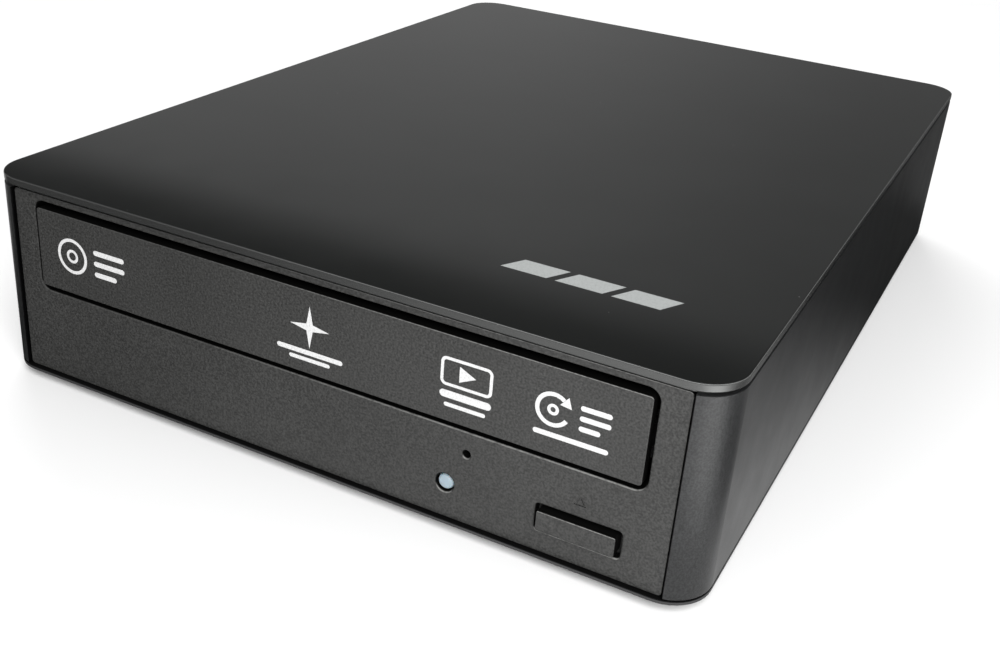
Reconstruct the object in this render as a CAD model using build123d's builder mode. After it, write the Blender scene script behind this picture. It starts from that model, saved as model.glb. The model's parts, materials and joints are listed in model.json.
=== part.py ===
"""External optical drive: a half-height disc drive in a desktop enclosure.

Millimetres. +Z is up, the front faces -Y, +X is to the right when looking at the front.
The origin is on the plane of the feet, under the middle of the case.
"""

import os
from math import acos, atan2, ceil, cos, degrees, hypot, pi, radians, sin, tan

from build123d import *

os.makedirs("parts", exist_ok=True)

# ---------------------------------------------------------------- driving dimensions
# Case
CASE_W = 161.4
CASE_D = 220.6
CASE_H = 44.4
CORNER_R = 8.5
WALL = 2.2
FOOT_H = 2.0
LID_T = 1.45
REVEAL = 0.85
REVEAL_DEPTH = 1.2
PLATE_T = 0.8
PLATE_PAD = 0.3

# Clearances
FIT = 0.02
RUN = 0.05
GAP = 0.1
PAST = 1.0

# Drive
DRIVE_W = 146.0
DRIVE_D = 165.0
SHEET = 0.8
BEZEL_W = 147.8
BEZEL_RECESS = 0.9
BEZEL_T = 2.0
BEZEL_RIM = 2.0
DOOR_W = 135.2
DOOR_H = 17.4
DOOR_PROUD = 0.5
DOOR_T = 2.5

# Disc path
DISC_R = 60.0
SMALL_DISC_R = 40.0
DISC_Y = -41.0
TRAY_TRAVEL = 136.0
TRAY_W = 135.0
SLOT_R = 22.0

# Gears
MODULE = 1.0
PRESSURE_ANGLE = radians(25)
ADDENDUM = 0.8 * MODULE
DEDENDUM = 1.1 * MODULE
BACKLASH = 0.15

# ---------------------------------------------------------------- derived levels
CASE_BOTTOM = FOOT_H
CASE_TOP = FOOT_H + CASE_H
LID_Z = CASE_TOP - LID_T
SHELL_TOP = LID_Z - REVEAL
SHELL_Z = CASE_BOTTOM + PLATE_T + PLATE_PAD
FRONT_Y = -CASE_D / 2
REAR_Y = CASE_D / 2
INNER_X = CASE_W / 2 - WALL
INNER_REAR_Y = REAR_Y - WALL
POST_X = 74.2
POST_DEPTH = 8.5

BEZEL_Y = FRONT_Y + BEZEL_RECESS
BEZEL_BACK_Y = BEZEL_Y + BEZEL_T
DRIVE_Y0 = BEZEL_BACK_Y + BEZEL_RIM
DRIVE_Y1 = DRIVE_Y0 + DRIVE_D
DRIVE_Z0 = SHELL_Z
DRIVE_Z1 = SHELL_TOP - 0.2
DRIVE_X = DRIVE_W / 2
DRIVE_INNER_X = DRIVE_X - SHEET

FRAME_X = DRIVE_INNER_X - 0.2
FRAME_WALL = 1.8
FRAME_IN_X = FRAME_X - FRAME_WALL
FRAME_Y0 = DRIVE_Y0 + 1.9
FRAME_Y1 = 56.0
FRAME_Z0 = 8.2
FRAME_Z1 = 39.0

TRAY_Z0 = 30.0
TRAY_FLOOR = 32.0
TRAY_SMALL_FLOOR = 31.0
TRAY_TOP = 34.5
RAIL_Z0 = 27.5
RACK_Z0 = 26.5
TRAY_Y1 = 54.0

BOARD_Z = 5.5
BOARD_T = 1.6
BOARD_TOP = BOARD_Z + BOARD_T


# ---------------------------------------------------------------- helpers
def block(xs, ys, zs, mode=Mode.ADD):
    """Box that fills three spans, each given as a (low, high) pair."""
    spans = (xs, ys, zs)
    middle = tuple((low + high) / 2 for low, high in spans)
    size = tuple(high - low for low, high in spans)
    with Locations(middle):
        Box(*size, mode=mode)


def both_sides(xs, ys, zs, mode=Mode.ADD):
    """The same block on the right and mirrored on the left."""
    block(xs, ys, zs, mode)
    block((-xs[1], -xs[0]), ys, zs, mode)


def post(radius, zs, mode=Mode.ADD):
    """Vertical cylinder between two heights, at the current locations."""
    with Locations((0, 0, zs[0])):
        Cylinder(radius, zs[1] - zs[0], align=(Align.CENTER, Align.CENTER, Align.MIN), mode=mode)


def rod_along(axis, radius, span, mode=Mode.ADD):
    """Cylinder along "X" or "Y" between two coordinates, at the current locations."""
    turn = (0, 90, 0) if axis == "X" else (90, 0, 0)
    middle = (span[0] + span[1]) / 2
    place = (middle, 0, 0) if axis == "X" else (0, middle, 0)
    with Locations(place):
        Cylinder(radius, span[1] - span[0], rotation=turn, mode=mode)


def cross_recess(head_r, depth):
    """Cross cut for a screwdriver at the current locations, half as deep as given."""
    arm_length = head_r * 1.2
    arm_width = head_r * 0.28
    Box(arm_length, arm_width, depth, mode=Mode.SUBTRACT)
    Box(arm_width, arm_length, depth, mode=Mode.SUBTRACT)


def pan_screw(shank_r, length, head_r, head_h):
    """Pan-head screw at the current locations: seat at the origin, head up, cross recess."""
    down = (Align.CENTER, Align.CENTER, Align.MAX)
    up = (Align.CENTER, Align.CENTER, Align.MIN)
    Cylinder(shank_r, length, align=down)
    Cylinder(head_r, head_h, align=up)
    with Locations((0, 0, head_h)):
        cross_recess(head_r, head_h)


def countersunk_screw(shank_r, length, head_r):
    """Countersunk screw at the current locations: head flush with the origin, shank up."""
    head_h = head_r - shank_r
    Cylinder(shank_r, length, align=(Align.CENTER, Align.CENTER, Align.MIN))
    Cone(head_r, shank_r, head_h, align=(Align.CENTER, Align.CENTER, Align.MIN))
    cross_recess(head_r, head_h)


def countersink(shank_r, head_r, depth):
    """The clearance hole for a countersunk screw that enters from below."""
    Cylinder(shank_r + FIT, depth, align=(Align.CENTER, Align.CENTER, Align.MIN), mode=Mode.SUBTRACT)
    Cone(head_r + FIT, shank_r + FIT, head_r - shank_r, align=(Align.CENTER, Align.CENTER, Align.MIN),
         mode=Mode.SUBTRACT)


def chip(centre, size, base, height):
    """Rectangular package that stands on a board, given the middle of its outline."""
    xs = (centre[0] - size[0] / 2, centre[0] + size[0] / 2)
    ys = (centre[1] - size[1] / 2, centre[1] + size[1] / 2)
    block(xs, ys, (base, base + height))


def front_plane(y):
    """Sketch plane that faces the front: x to the right, y up, extruded towards -Y."""
    return Plane.XZ.offset(-y)


def involute(angle):
    """Involute function of a pressure angle."""
    return tan(angle) - angle


def gear_outline(teeth, first_tooth):
    """Corners of a spur gear's outline, anticlockwise, with one tooth at first_tooth degrees."""
    pitch_r = MODULE * teeth / 2
    base_r = pitch_r * cos(PRESSURE_ANGLE)
    root_r = pitch_r - DEDENDUM
    tip_r = pitch_r + ADDENDUM
    start_r = max(root_r, base_r)
    flank_steps = 4
    flank = [start_r + (tip_r - start_r) * step / flank_steps for step in range(flank_steps + 1)]
    half_at_pitch = (pi * MODULE / 2 - BACKLASH) / 2 / pitch_r

    def half_width(radius):
        return half_at_pitch + involute(PRESSURE_ANGLE) - involute(acos(min(1.0, base_r / radius)))

    right = [(radius, -half_width(radius)) for radius in flank]
    if root_r < base_r:
        right.insert(0, (root_r, -half_width(base_r)))
    tooth = right + [(radius, -angle) for radius, angle in reversed(right)]
    corners = []
    for index in range(teeth):
        centre = radians(first_tooth + 360 * index / teeth)
        corners += [(radius * cos(centre + angle), radius * sin(centre + angle)) for radius, angle in tooth]
    return corners


def spur_gear(centre, teeth, first_tooth, zs):
    """Spur gear between two heights, in the current part."""
    with BuildSketch(Plane((centre[0], centre[1], zs[0]))) as gear_face:
        with BuildLine():
            Polyline(*gear_outline(teeth, first_tooth), close=True)
        make_face()
    extrude(gear_face.sketch, amount=zs[1] - zs[0])


# ================================================================ ENCLOSURE
# ---------------------------------------------------------------- top cover
LID_EDGE_R = 0.3
LID_RIM_W = 1.6
TAB_YS = (-70.0, -10.0, 50.0)
TAB_W = 12.0
TAB_Z0 = 38.0
TAB_X = (INNER_X - 1.4, INNER_X - 2 * GAP)
BARB_Z = (39.2, 40.3)
BARB_DEPTH = 0.8

with BuildPart() as top_cover:
    with BuildSketch(Plane.XY.offset(LID_Z)):
        RectangleRounded(CASE_W, CASE_D, CORNER_R)
    extrude(amount=LID_T)
    fillet(top_cover.faces().sort_by(Axis.Z)[-1].edges(), LID_EDGE_R)
    with BuildSketch(Plane.XY.offset(SHELL_TOP)):
        rim_w = CASE_W - 2 * REVEAL_DEPTH
        rim_d = CASE_D - 2 * REVEAL_DEPTH
        rim_r = CORNER_R - REVEAL_DEPTH
        RectangleRounded(rim_w, rim_d, rim_r)
        RectangleRounded(rim_w - 2 * LID_RIM_W, rim_d - 2 * LID_RIM_W, rim_r - LID_RIM_W, mode=Mode.SUBTRACT)
    extrude(amount=REVEAL)
    for tab_y in TAB_YS:
        tab_span = (tab_y - TAB_W / 2, tab_y + TAB_W / 2)
        both_sides(TAB_X, tab_span, (TAB_Z0, LID_Z))
        both_sides((TAB_X[1], TAB_X[1] + BARB_DEPTH), tab_span, BARB_Z)
top_cover.part.label = "top_cover"
export_step(top_cover.part, "parts/top_cover.step")

# ---------------------------------------------------------------- case shell
SCREW_R = 1.4
SCREW_HEAD_R = 2.4
SCREW_DEPTH = 9.0
FRONT_SCREW = (77.2, FRONT_Y + 5.6)
REAR_SCREW = (INNER_X - 2.6, INNER_REAR_Y - 2.6)
BOSS_R = 3.4
BOSS_TOP = 20.0
PANEL_X = 64.0
PANEL_Z = (6.0, 25.0)
PANEL_DEPTH = 1.0
PANEL_Y = REAR_Y - PANEL_DEPTH
PORT_Z = 15.0
JACK_X = -50.0
USB_X = -25.0
SWITCH_X = 45.0
POST_EDGE_R = 0.2
JACK_CUT_R = 4.2
USB_CUT = (12.4, 11.4)
SWITCH_CUT = (13.2, 9.0)
VENT_PITCH = 6.0
VENT_W = 2.0
REAR_VENT_L = 12.0
REAR_VENT_Z = 34.0
REAR_VENTS = 12
case_screw_places = [(side * x, y) for x, y in (FRONT_SCREW, REAR_SCREW) for side in (-1, 1)]

with BuildPart() as case_shell:
    with BuildSketch(Plane.XY.offset(SHELL_Z)):
        RectangleRounded(CASE_W, CASE_D, CORNER_R)
        RectangleRounded(CASE_W - 2 * WALL, CASE_D - 2 * WALL, CORNER_R - WALL, mode=Mode.SUBTRACT)
    extrude(amount=SHELL_TOP - SHELL_Z)
    # solid posts in the two front corners
    with BuildSketch(Plane.XY.offset(SHELL_Z)):
        RectangleRounded(CASE_W, CASE_D, CORNER_R)
        with Locations((0, POST_DEPTH)):
            Rectangle(CASE_W, CASE_D, mode=Mode.SUBTRACT)
        Rectangle(2 * POST_X, CASE_D, mode=Mode.SUBTRACT)
    extrude(amount=SHELL_TOP - SHELL_Z)
    # screw bosses in the rear corners
    with Locations(*[(side * REAR_SCREW[0], REAR_SCREW[1], 0) for side in (-1, 1)]):
        post(BOSS_R, (SHELL_Z, BOSS_TOP))
    # open front between the posts
    open_y = (FRONT_Y - PAST, FRONT_Y + POST_DEPTH + PAST)
    block((-POST_X, POST_X), open_y, (SHELL_Z - PAST, SHELL_TOP + PAST), Mode.SUBTRACT)
    # screw holes from below
    with Locations(*[(x, y, 0) for x, y in case_screw_places]):
        post(SCREW_R + FIT, (SHELL_Z, SHELL_Z + SCREW_DEPTH), Mode.SUBTRACT)
    # pockets for the barbs of the lid's snap tabs
    for tab_y in TAB_YS:
        pocket_y = (tab_y - TAB_W / 2 - 0.5, tab_y + TAB_W / 2 + 0.5)
        pocket_z = (BARB_Z[0] - 2 * GAP, BARB_Z[1] + 2 * GAP)
        both_sides((INNER_X - GAP, INNER_X + BARB_DEPTH + GAP), pocket_y, pocket_z, Mode.SUBTRACT)
    # recessed rear panel with the port cut-outs
    block((-PANEL_X, PANEL_X), (PANEL_Y, REAR_Y + PAST), PANEL_Z, Mode.SUBTRACT)
    with BuildSketch(front_plane(REAR_Y + PAST)):
        with Locations((JACK_X, PORT_Z)):
            Circle(JACK_CUT_R)
        with Locations((USB_X, PORT_Z)):
            Rectangle(*USB_CUT)
        with Locations((SWITCH_X, PORT_Z)):
            Rectangle(*SWITCH_CUT)
    extrude(amount=WALL + 2 * PAST, mode=Mode.SUBTRACT)
    # cooling slots in the rear wall
    with BuildSketch(front_plane(REAR_Y + PAST)):
        with Locations((0, REAR_VENT_Z)):
            with GridLocations(VENT_PITCH, 0, REAR_VENTS, 1):
                SlotOverall(REAR_VENT_L, VENT_W, rotation=90)
    extrude(amount=WALL + 2 * PAST, mode=Mode.SUBTRACT)
    post_edges = case_shell.edges().filter_by(Axis.Z).filter_by(
        lambda edge: abs(abs(edge.center().X) - POST_X) < FIT and edge.center().Y < FRONT_Y + POST_DEPTH / 2
    )
    fillet(post_edges, POST_EDGE_R)
case_shell.part.label = "case_shell"
export_step(case_shell.part, "parts/case_shell.step")

# ---------------------------------------------------------------- bottom cover
PAD_INSET = 1.0
STANDOFF_R = 2.6
BRIDGE_Z = 8.0
BRIDGE_X = (-62.0, 68.0)
BRIDGE_Y = (74.0, 106.0)
STANDOFF_XS = (BRIDGE_X[0] + 4.0, BRIDGE_X[1] - 4.0)
STANDOFF_YS = (BRIDGE_Y[0] + 4.0, BRIDGE_Y[1] - 6.0)
BOTTOM_VENT_Y = 67.0
BOTTOM_VENT_L = 9.0
BOTTOM_VENTS = 14
standoff_places = [(x, y) for x in STANDOFF_XS for y in STANDOFF_YS]
BRACKET_SCREW_X = 76.3
BRACKET_SCREW_YS = (-75.0, 45.0)
SMALL_SCREW_R = 1.2
bracket_screw_places = [(side * BRACKET_SCREW_X, y) for side in (-1, 1) for y in BRACKET_SCREW_YS]

with BuildPart() as bottom_cover:
    with BuildSketch(Plane.XY.offset(CASE_BOTTOM)):
        RectangleRounded(CASE_W, CASE_D, CORNER_R)
    extrude(amount=PLATE_T)
    with BuildSketch(Plane.XY.offset(CASE_BOTTOM + PLATE_T)):
        RectangleRounded(CASE_W - 2 * PAD_INSET, CASE_D - 2 * PAD_INSET, CORNER_R - PAD_INSET)
    extrude(amount=PLATE_PAD)
    # the pad stops behind the bezel
    block((-POST_X, POST_X), (FRONT_Y, DRIVE_Y0 + GAP), (CASE_BOTTOM + PLATE_T, SHELL_Z), Mode.SUBTRACT)
    with Locations(*[(x, y, 0) for x, y in standoff_places]):
        post(STANDOFF_R, (SHELL_Z, BRIDGE_Z))
        post(SMALL_SCREW_R + FIT, (SHELL_Z, BRIDGE_Z), Mode.SUBTRACT)
    with Locations(*[(x, y, 0) for x, y in bracket_screw_places]):
        post(SMALL_SCREW_R + FIT, (CASE_BOTTOM - PAST, SHELL_Z + PAST), Mode.SUBTRACT)
    with Locations(*[(x, y, CASE_BOTTOM) for x, y in case_screw_places]):
        countersink(SCREW_R, SCREW_HEAD_R, PLATE_T + PLATE_PAD)
    with BuildSketch(Plane.XY.offset(CASE_BOTTOM)):
        with Locations((0, BOTTOM_VENT_Y)):
            with GridLocations(VENT_PITCH, 0, BOTTOM_VENTS, 1):
                SlotOverall(BOTTOM_VENT_L, VENT_W, rotation=90)
    extrude(amount=PLATE_T + PLATE_PAD, mode=Mode.SUBTRACT)
bottom_cover.part.label = "bottom_cover"
export_step(bottom_cover.part, "parts/bottom_cover.step")

# ---------------------------------------------------------------- feet and case screws
FOOT_R = 6.0
FOOT_X = 64.0
FOOT_Y = 94.0
FOOT_EDGE_R = 0.6

with BuildPart() as rubber_feet:
    with BuildSketch():
        with GridLocations(2 * FOOT_X, 2 * FOOT_Y, 2, 2):
            Circle(FOOT_R)
    extrude(amount=FOOT_H)
    fillet(rubber_feet.faces().group_by(Axis.Z)[0].edges(), FOOT_EDGE_R)
rubber_feet.part.label = "rubber_feet"
export_step(rubber_feet.part, "parts/rubber_feet.step")

with BuildPart() as bottom_screws:
    with Locations(*[(x, y, CASE_BOTTOM) for x, y in case_screw_places]):
        countersunk_screw(SCREW_R, SCREW_DEPTH, SCREW_HEAD_R)
bottom_screws.part.label = "bottom_screws"
export_step(bottom_screws.part, "parts/bottom_screws.step")

# ---------------------------------------------------------------- drive brackets
BRACKET_T = 1.2
BRACKET_Y = (-82.0, 52.0)
BRACKET_TOP = 20.0
DRIVE_SCREW_Z = DRIVE_Z0 + 10.0
DRIVE_SCREW_YS = (-58.4, 20.85)
DRIVE_SCREW_R = 1.45
DRIVE_SCREW_HEAD_R = 2.6
DRIVE_SCREW_LENGTH = 4.4
DRIVE_SCREW_HEAD_H = 1.6
BRACKET_SCREW_HEAD = (1.9, 1.2)


def bracket(side):
    """One steel angle: an upright along the drive's side and a foot on the bottom cover."""
    upright = sorted((side * DRIVE_X, side * (DRIVE_X + BRACKET_T)))
    foot = sorted((side * DRIVE_X, side * (INNER_X - 2 * GAP)))
    block(upright, BRACKET_Y, (SHELL_Z, BRACKET_TOP))
    block(foot, BRACKET_Y, (SHELL_Z, SHELL_Z + BRACKET_T))
    with Locations(*[(side * BRACKET_SCREW_X, y, 0) for y in BRACKET_SCREW_YS]):
        post(SMALL_SCREW_R + FIT, (SHELL_Z - PAST, SHELL_Z + BRACKET_T + PAST), Mode.SUBTRACT)
    with Locations(*[(0, y, DRIVE_SCREW_Z) for y in DRIVE_SCREW_YS]):
        rod_along("X", DRIVE_SCREW_R + FIT, upright, Mode.SUBTRACT)


with BuildPart() as mounting_bracket_left:
    bracket(-1)
mounting_bracket_left.part.label = "mounting_bracket_left"
export_step(mounting_bracket_left.part, "parts/mounting_bracket_left.step")

with BuildPart() as mounting_bracket_right:
    bracket(1)
mounting_bracket_right.part.label = "mounting_bracket_right"
export_step(mounting_bracket_right.part, "parts/mounting_bracket_right.step")

with BuildPart() as bracket_screws:
    with Locations(*[(x, y, SHELL_Z + BRACKET_T) for x, y in bracket_screw_places]):
        pan_screw(SMALL_SCREW_R, BRACKET_T + PLATE_T, *BRACKET_SCREW_HEAD)
bracket_screws.part.label = "bracket_screws"
export_step(bracket_screws.part, "parts/bracket_screws.step")

with BuildPart() as drive_screws:
    for side in (-1, 1):
        for screw_y in DRIVE_SCREW_YS:
            head_seat = (side * (DRIVE_X + BRACKET_T), screw_y, DRIVE_SCREW_Z)
            with Locations(Location(head_seat, (0, side * 90, 0))):
                pan_screw(DRIVE_SCREW_R, DRIVE_SCREW_LENGTH, DRIVE_SCREW_HEAD_R, DRIVE_SCREW_HEAD_H)
drive_screws.part.label = "drive_screws"
export_step(drive_screws.part, "parts/drive_screws.step")

# ---------------------------------------------------------------- bridge board
BRIDGE_TOP = BRIDGE_Z + BOARD_T
CAPACITOR_R = 3.2
CAPACITOR_H = 9.0
BOARD_HOLE_R = SMALL_SCREW_R + 0.2
BOARD_SCREW_HEAD = (2.3, 1.4)
STANDOFF_BITE = 4.0

with BuildPart() as bridge_board:
    block(BRIDGE_X, BRIDGE_Y, (BRIDGE_Z, BRIDGE_TOP))
    with Locations(*[(x, y, 0) for x, y in standoff_places]):
        post(BOARD_HOLE_R, (BRIDGE_Z - PAST, BRIDGE_TOP + PAST), Mode.SUBTRACT)
bridge_board.part.label = "bridge_board"
export_step(bridge_board.part, "parts/bridge_board.step")

with BuildPart() as bridge_chips:
    # bridge controller, its memory, a crystal, a choke and three capacitors
    chip((-2.0, 86.0), (12.0, 12.0), BRIDGE_TOP, 1.2)
    chip((13.0, 82.5), (6.0, 5.0), BRIDGE_TOP, 1.0)
    chip((15.0, 92.0), (10.0, 4.0), BRIDGE_TOP, 3.2)
    chip((-36.0, 81.0), (8.0, 6.0), BRIDGE_TOP, 3.0)
    with Locations((-50, 82, 0), (-10, 100, 0), (0, 100, 0)):
        post(CAPACITOR_R, (BRIDGE_TOP, BRIDGE_TOP + CAPACITOR_H))
bridge_chips.part.label = "bridge_chips"
export_step(bridge_chips.part, "parts/bridge_chips.step")

with BuildPart() as board_screws:
    with Locations(*[(x, y, BRIDGE_TOP) for x, y in standoff_places]):
        pan_screw(SMALL_SCREW_R, BOARD_T + STANDOFF_BITE, *BOARD_SCREW_HEAD)
board_screws.part.label = "board_screws"
export_step(board_screws.part, "parts/board_screws.step")

# ---------------------------------------------------------------- rear ports
PORT_FACE_Y = REAR_Y - 0.3
JACK_BODY_W = 9.0
JACK_BODY_H = 10.4
JACK_BODY_Y0 = 96.0
JACK_NOSE_R = 4.0
JACK_BORE_R = 3.2
JACK_BORE_Y0 = 100.0
JACK_PIN_R = 1.0
USB_W = 12.0
USB_H = 10.8
USB_BODY_Y0 = 94.0
USB_MOUTH_W = 8.5
USB_MOUTH_H = 7.8
USB_MOUTH_Y0 = 98.0
USB_CORNER = 1.6
USB_TONGUE_W = 5.6
USB_TONGUE_H = 3.2

with BuildPart() as dc_jack:
    jack_span = (JACK_X - JACK_BODY_W / 2, JACK_X + JACK_BODY_W / 2)
    block(jack_span, (JACK_BODY_Y0, INNER_REAR_Y - GAP), (BRIDGE_TOP, BRIDGE_TOP + JACK_BODY_H))
    with Locations((JACK_X, 0, PORT_Z)):
        rod_along("Y", JACK_NOSE_R, (INNER_REAR_Y - PAST, PORT_FACE_Y))
        rod_along("Y", JACK_BORE_R, (JACK_BORE_Y0, PORT_FACE_Y + PAST), Mode.SUBTRACT)
        rod_along("Y", JACK_PIN_R, (JACK_BORE_Y0 - PAST, PORT_FACE_Y - PAST))
dc_jack.part.label = "dc_jack"
export_step(dc_jack.part, "parts/dc_jack.step")

with BuildPart() as usb_port:
    usb_span = (USB_X - USB_W / 2, USB_X + USB_W / 2)
    block(usb_span, (USB_BODY_Y0, PORT_FACE_Y), (BRIDGE_TOP, BRIDGE_TOP + USB_H))
    # square mouth with its two upper corners cut off, and the tongue inside
    with BuildSketch(front_plane(PORT_FACE_Y + PAST)) as mouth:
        with Locations((USB_X, PORT_Z)):
            Rectangle(USB_MOUTH_W, USB_MOUTH_H)
        chamfer(mouth.vertices().group_by(Axis.Y)[-1], USB_CORNER)
    extrude(amount=PORT_FACE_Y + PAST - USB_MOUTH_Y0, mode=Mode.SUBTRACT)
    tongue_span = (USB_X - USB_TONGUE_W / 2, USB_X + USB_TONGUE_W / 2)
    tongue_z = (PORT_Z - USB_TONGUE_H / 2, PORT_Z + USB_TONGUE_H / 2)
    block(tongue_span, (USB_MOUTH_Y0 - PAST, PORT_FACE_Y - PAST), tongue_z)
usb_port.part.label = "usb_port"
export_step(usb_port.part, "parts/usb_port.step")

# ---------------------------------------------------------------- power switch
SWITCH_BODY = (12.9, 8.7)
SWITCH_FLANGE = (15.4, 11.2)
SWITCH_FLANGE_T = 0.6
SWITCH_WELL = (11.6, 7.0)
SWITCH_DEPTH = 12.0
ROCKER_SIZE = (9.8, 6.6)
ROCKER_AXLE_R = 0.8
ROCKER_TILT = 8.0
ROCKER_AXLE_Y = 104.5
ROCKER_END_Y = 109.0
ROCKER_DIP = 0.7
ROCKER_SKIRT = 2.6
ROCKER_SKIRT_TAPER = 1.5
AXLE_INSET = 0.3
LUG_X = 4.0
LUG_T = 0.8
LUG_H = 4.4
LUG_L = 6.0

with BuildPart() as switch_housing:
    with BuildSketch(front_plane(PANEL_Y + SWITCH_FLANGE_T)):
        with Locations((SWITCH_X, PORT_Z)):
            RectangleRounded(*SWITCH_FLANGE, 0.8)
    extrude(amount=SWITCH_FLANGE_T)
    with BuildSketch(front_plane(PANEL_Y)):
        with Locations((SWITCH_X, PORT_Z)):
            Rectangle(*SWITCH_BODY)
    extrude(amount=SWITCH_DEPTH)
    with BuildSketch(front_plane(PANEL_Y + SWITCH_FLANGE_T)):
        with Locations((SWITCH_X, PORT_Z)):
            Rectangle(*SWITCH_WELL)
    extrude(amount=SWITCH_DEPTH - PAST, mode=Mode.SUBTRACT)
    with Locations((SWITCH_X, ROCKER_AXLE_Y, 0)):
        axle_reach = SWITCH_BODY[1] / 2 - AXLE_INSET
        post(ROCKER_AXLE_R + RUN, (PORT_Z - axle_reach, PORT_Z + axle_reach), Mode.SUBTRACT)
    lug_y = (PANEL_Y - SWITCH_DEPTH - LUG_L, PANEL_Y - SWITCH_DEPTH)
    for lug_x in (SWITCH_X - LUG_X, SWITCH_X + LUG_X):
        block((lug_x - LUG_T / 2, lug_x + LUG_T / 2), lug_y, (PORT_Z - LUG_H / 2, PORT_Z + LUG_H / 2))
switch_housing.part.label = "switch_housing"
export_step(switch_housing.part, "parts/switch_housing.step")

rocker_plane = Plane((SWITCH_X, ROCKER_AXLE_Y, PORT_Z - ROCKER_SIZE[1] / 2)).rotated((0, 0, ROCKER_TILT))
with BuildPart() as switch_rocker:
    with BuildSketch(rocker_plane):
        half = ROCKER_SIZE[0] / 2
        end_y = ROCKER_END_Y - ROCKER_AXLE_Y
        with BuildLine():
            Polyline(
                (-half, end_y),
                (-half, 0),
                (-half + ROCKER_SKIRT_TAPER, -ROCKER_SKIRT),
                (half - ROCKER_SKIRT_TAPER, -ROCKER_SKIRT),
                (half, 0),
                (half, end_y),
            )
            ThreePointArc((half, end_y), (0, end_y - ROCKER_DIP), (-half, end_y))
        make_face()
    extrude(amount=ROCKER_SIZE[1])
    with Locations((SWITCH_X, ROCKER_AXLE_Y, 0)):
        axle_half = SWITCH_BODY[1] / 2 - AXLE_INSET - GAP
        post(ROCKER_AXLE_R, (PORT_Z - axle_half, PORT_Z + axle_half))
switch_rocker.part.label = "switch_rocker"
export_step(switch_rocker.part, "parts/switch_rocker.step")

# ---------------------------------------------------------------- lead from board to drive
PLUG_X = (31.0, 65.0)
PLUG_Z = (7.5, 12.5)
PLUG_Y = (DRIVE_Y1 - 4.0, DRIVE_Y1 + 8.0)
HEADER_Y = (84.0, 90.0)
CABLE_T = 1.2
CABLE_W = 28.0
CABLE_ARCH = 5.0
HEADER_H = 5.0
CLIP_H = 1.2
header_z = (BRIDGE_TOP, BRIDGE_TOP + HEADER_H)

with BuildPart() as sata_plug:
    block(PLUG_X, PLUG_Y, PLUG_Z)
    # latch on top
    latch_x = (PLUG_X[0] + CLIP_H, PLUG_X[1] - CLIP_H)
    block(latch_x, (DRIVE_Y1 + CLIP_H, PLUG_Y[1]), (PLUG_Z[1], PLUG_Z[1] + CLIP_H))
sata_plug.part.label = "sata_plug"
export_step(sata_plug.part, "parts/sata_plug.step")

with BuildPart() as cable_header:
    block(PLUG_X, HEADER_Y, header_z)
cable_header.part.label = "cable_header"
export_step(cable_header.part, "parts/cable_header.step")

cable_z0 = (PLUG_Z[0] + PLUG_Z[1]) / 2
cable_z1 = (header_z[0] + header_z[1]) / 2
with BuildPart() as sata_cable:
    with BuildSketch(Plane.YZ.offset((PLUG_X[0] + PLUG_X[1] - CABLE_W) / 2)):
        with BuildLine():
            cable_middle = ((PLUG_Y[1] + HEADER_Y[0]) / 2, cable_z1 + CABLE_ARCH)
            Spline((PLUG_Y[1], cable_z0), cable_middle, (HEADER_Y[0], cable_z1))
        trace(line_width=CABLE_T)
    extrude(amount=CABLE_W)
    block(PLUG_X, PLUG_Y, PLUG_Z, Mode.SUBTRACT)
    block(PLUG_X, HEADER_Y, header_z, Mode.SUBTRACT)
sata_cable.part.label = "sata_cable"
export_step(sata_cable.part, "parts/sata_cable.step")

# ================================================================ DRIVE, FIXED PIECES
# ---------------------------------------------------------------- bezel
BEZEL_Z0 = CASE_BOTTOM + PLATE_T + GAP
BEZEL_Z1 = SHELL_TOP - RUN
BEZEL_MID_Z = (BEZEL_Z0 + BEZEL_Z1) / 2
BEZEL_H = BEZEL_Z1 - BEZEL_Z0
BEZEL_CORNER_R = 0.8
BEZEL_EDGE_R = 0.2
RIM_INSET = 0.3
RIM_SIDE_T = 2.2
RIM_TOP_T = 1.0
OPENING_EDGE_R = 0.4
TUNNEL_T = 1.2
DOOR_GAP = 1.3
DOOR_SIDE_GAP = 0.9
DOOR_Z = CASE_BOTTOM + 30.6
OPENING_W = DOOR_W + 2 * DOOR_SIDE_GAP
OPENING_H = DOOR_H + 2 * DOOR_GAP
OPENING_R = 2.4
BUTTON_X = 57.0
BUTTON_Z = CASE_BOTTOM + 8.2
BUTTON_HOLE = (16.8, 5.7)
BUTTON_HOLE_R = 0.8
BUTTON_SIZE = (15.3, 4.1)
LIGHT_X = 30.0
LIGHT_Z = CASE_BOTTOM + 8.25
LIGHT_HOLE_R = 1.95
PIN_X = 34.1
PIN_Z = CASE_BOTTOM + 15.9
PIN_R = 0.8
MARK_Z = CASE_BOTTOM + 14.3
MARK_R = 1.4
MARK_INNER_R = 0.8
MARK_DEPTH = 0.15
BEZEL_TAB_T = 1.1
BEZEL_TAB_L = 6.0
BEZEL_TAB_Z = (9.5, 15.0)

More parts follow.
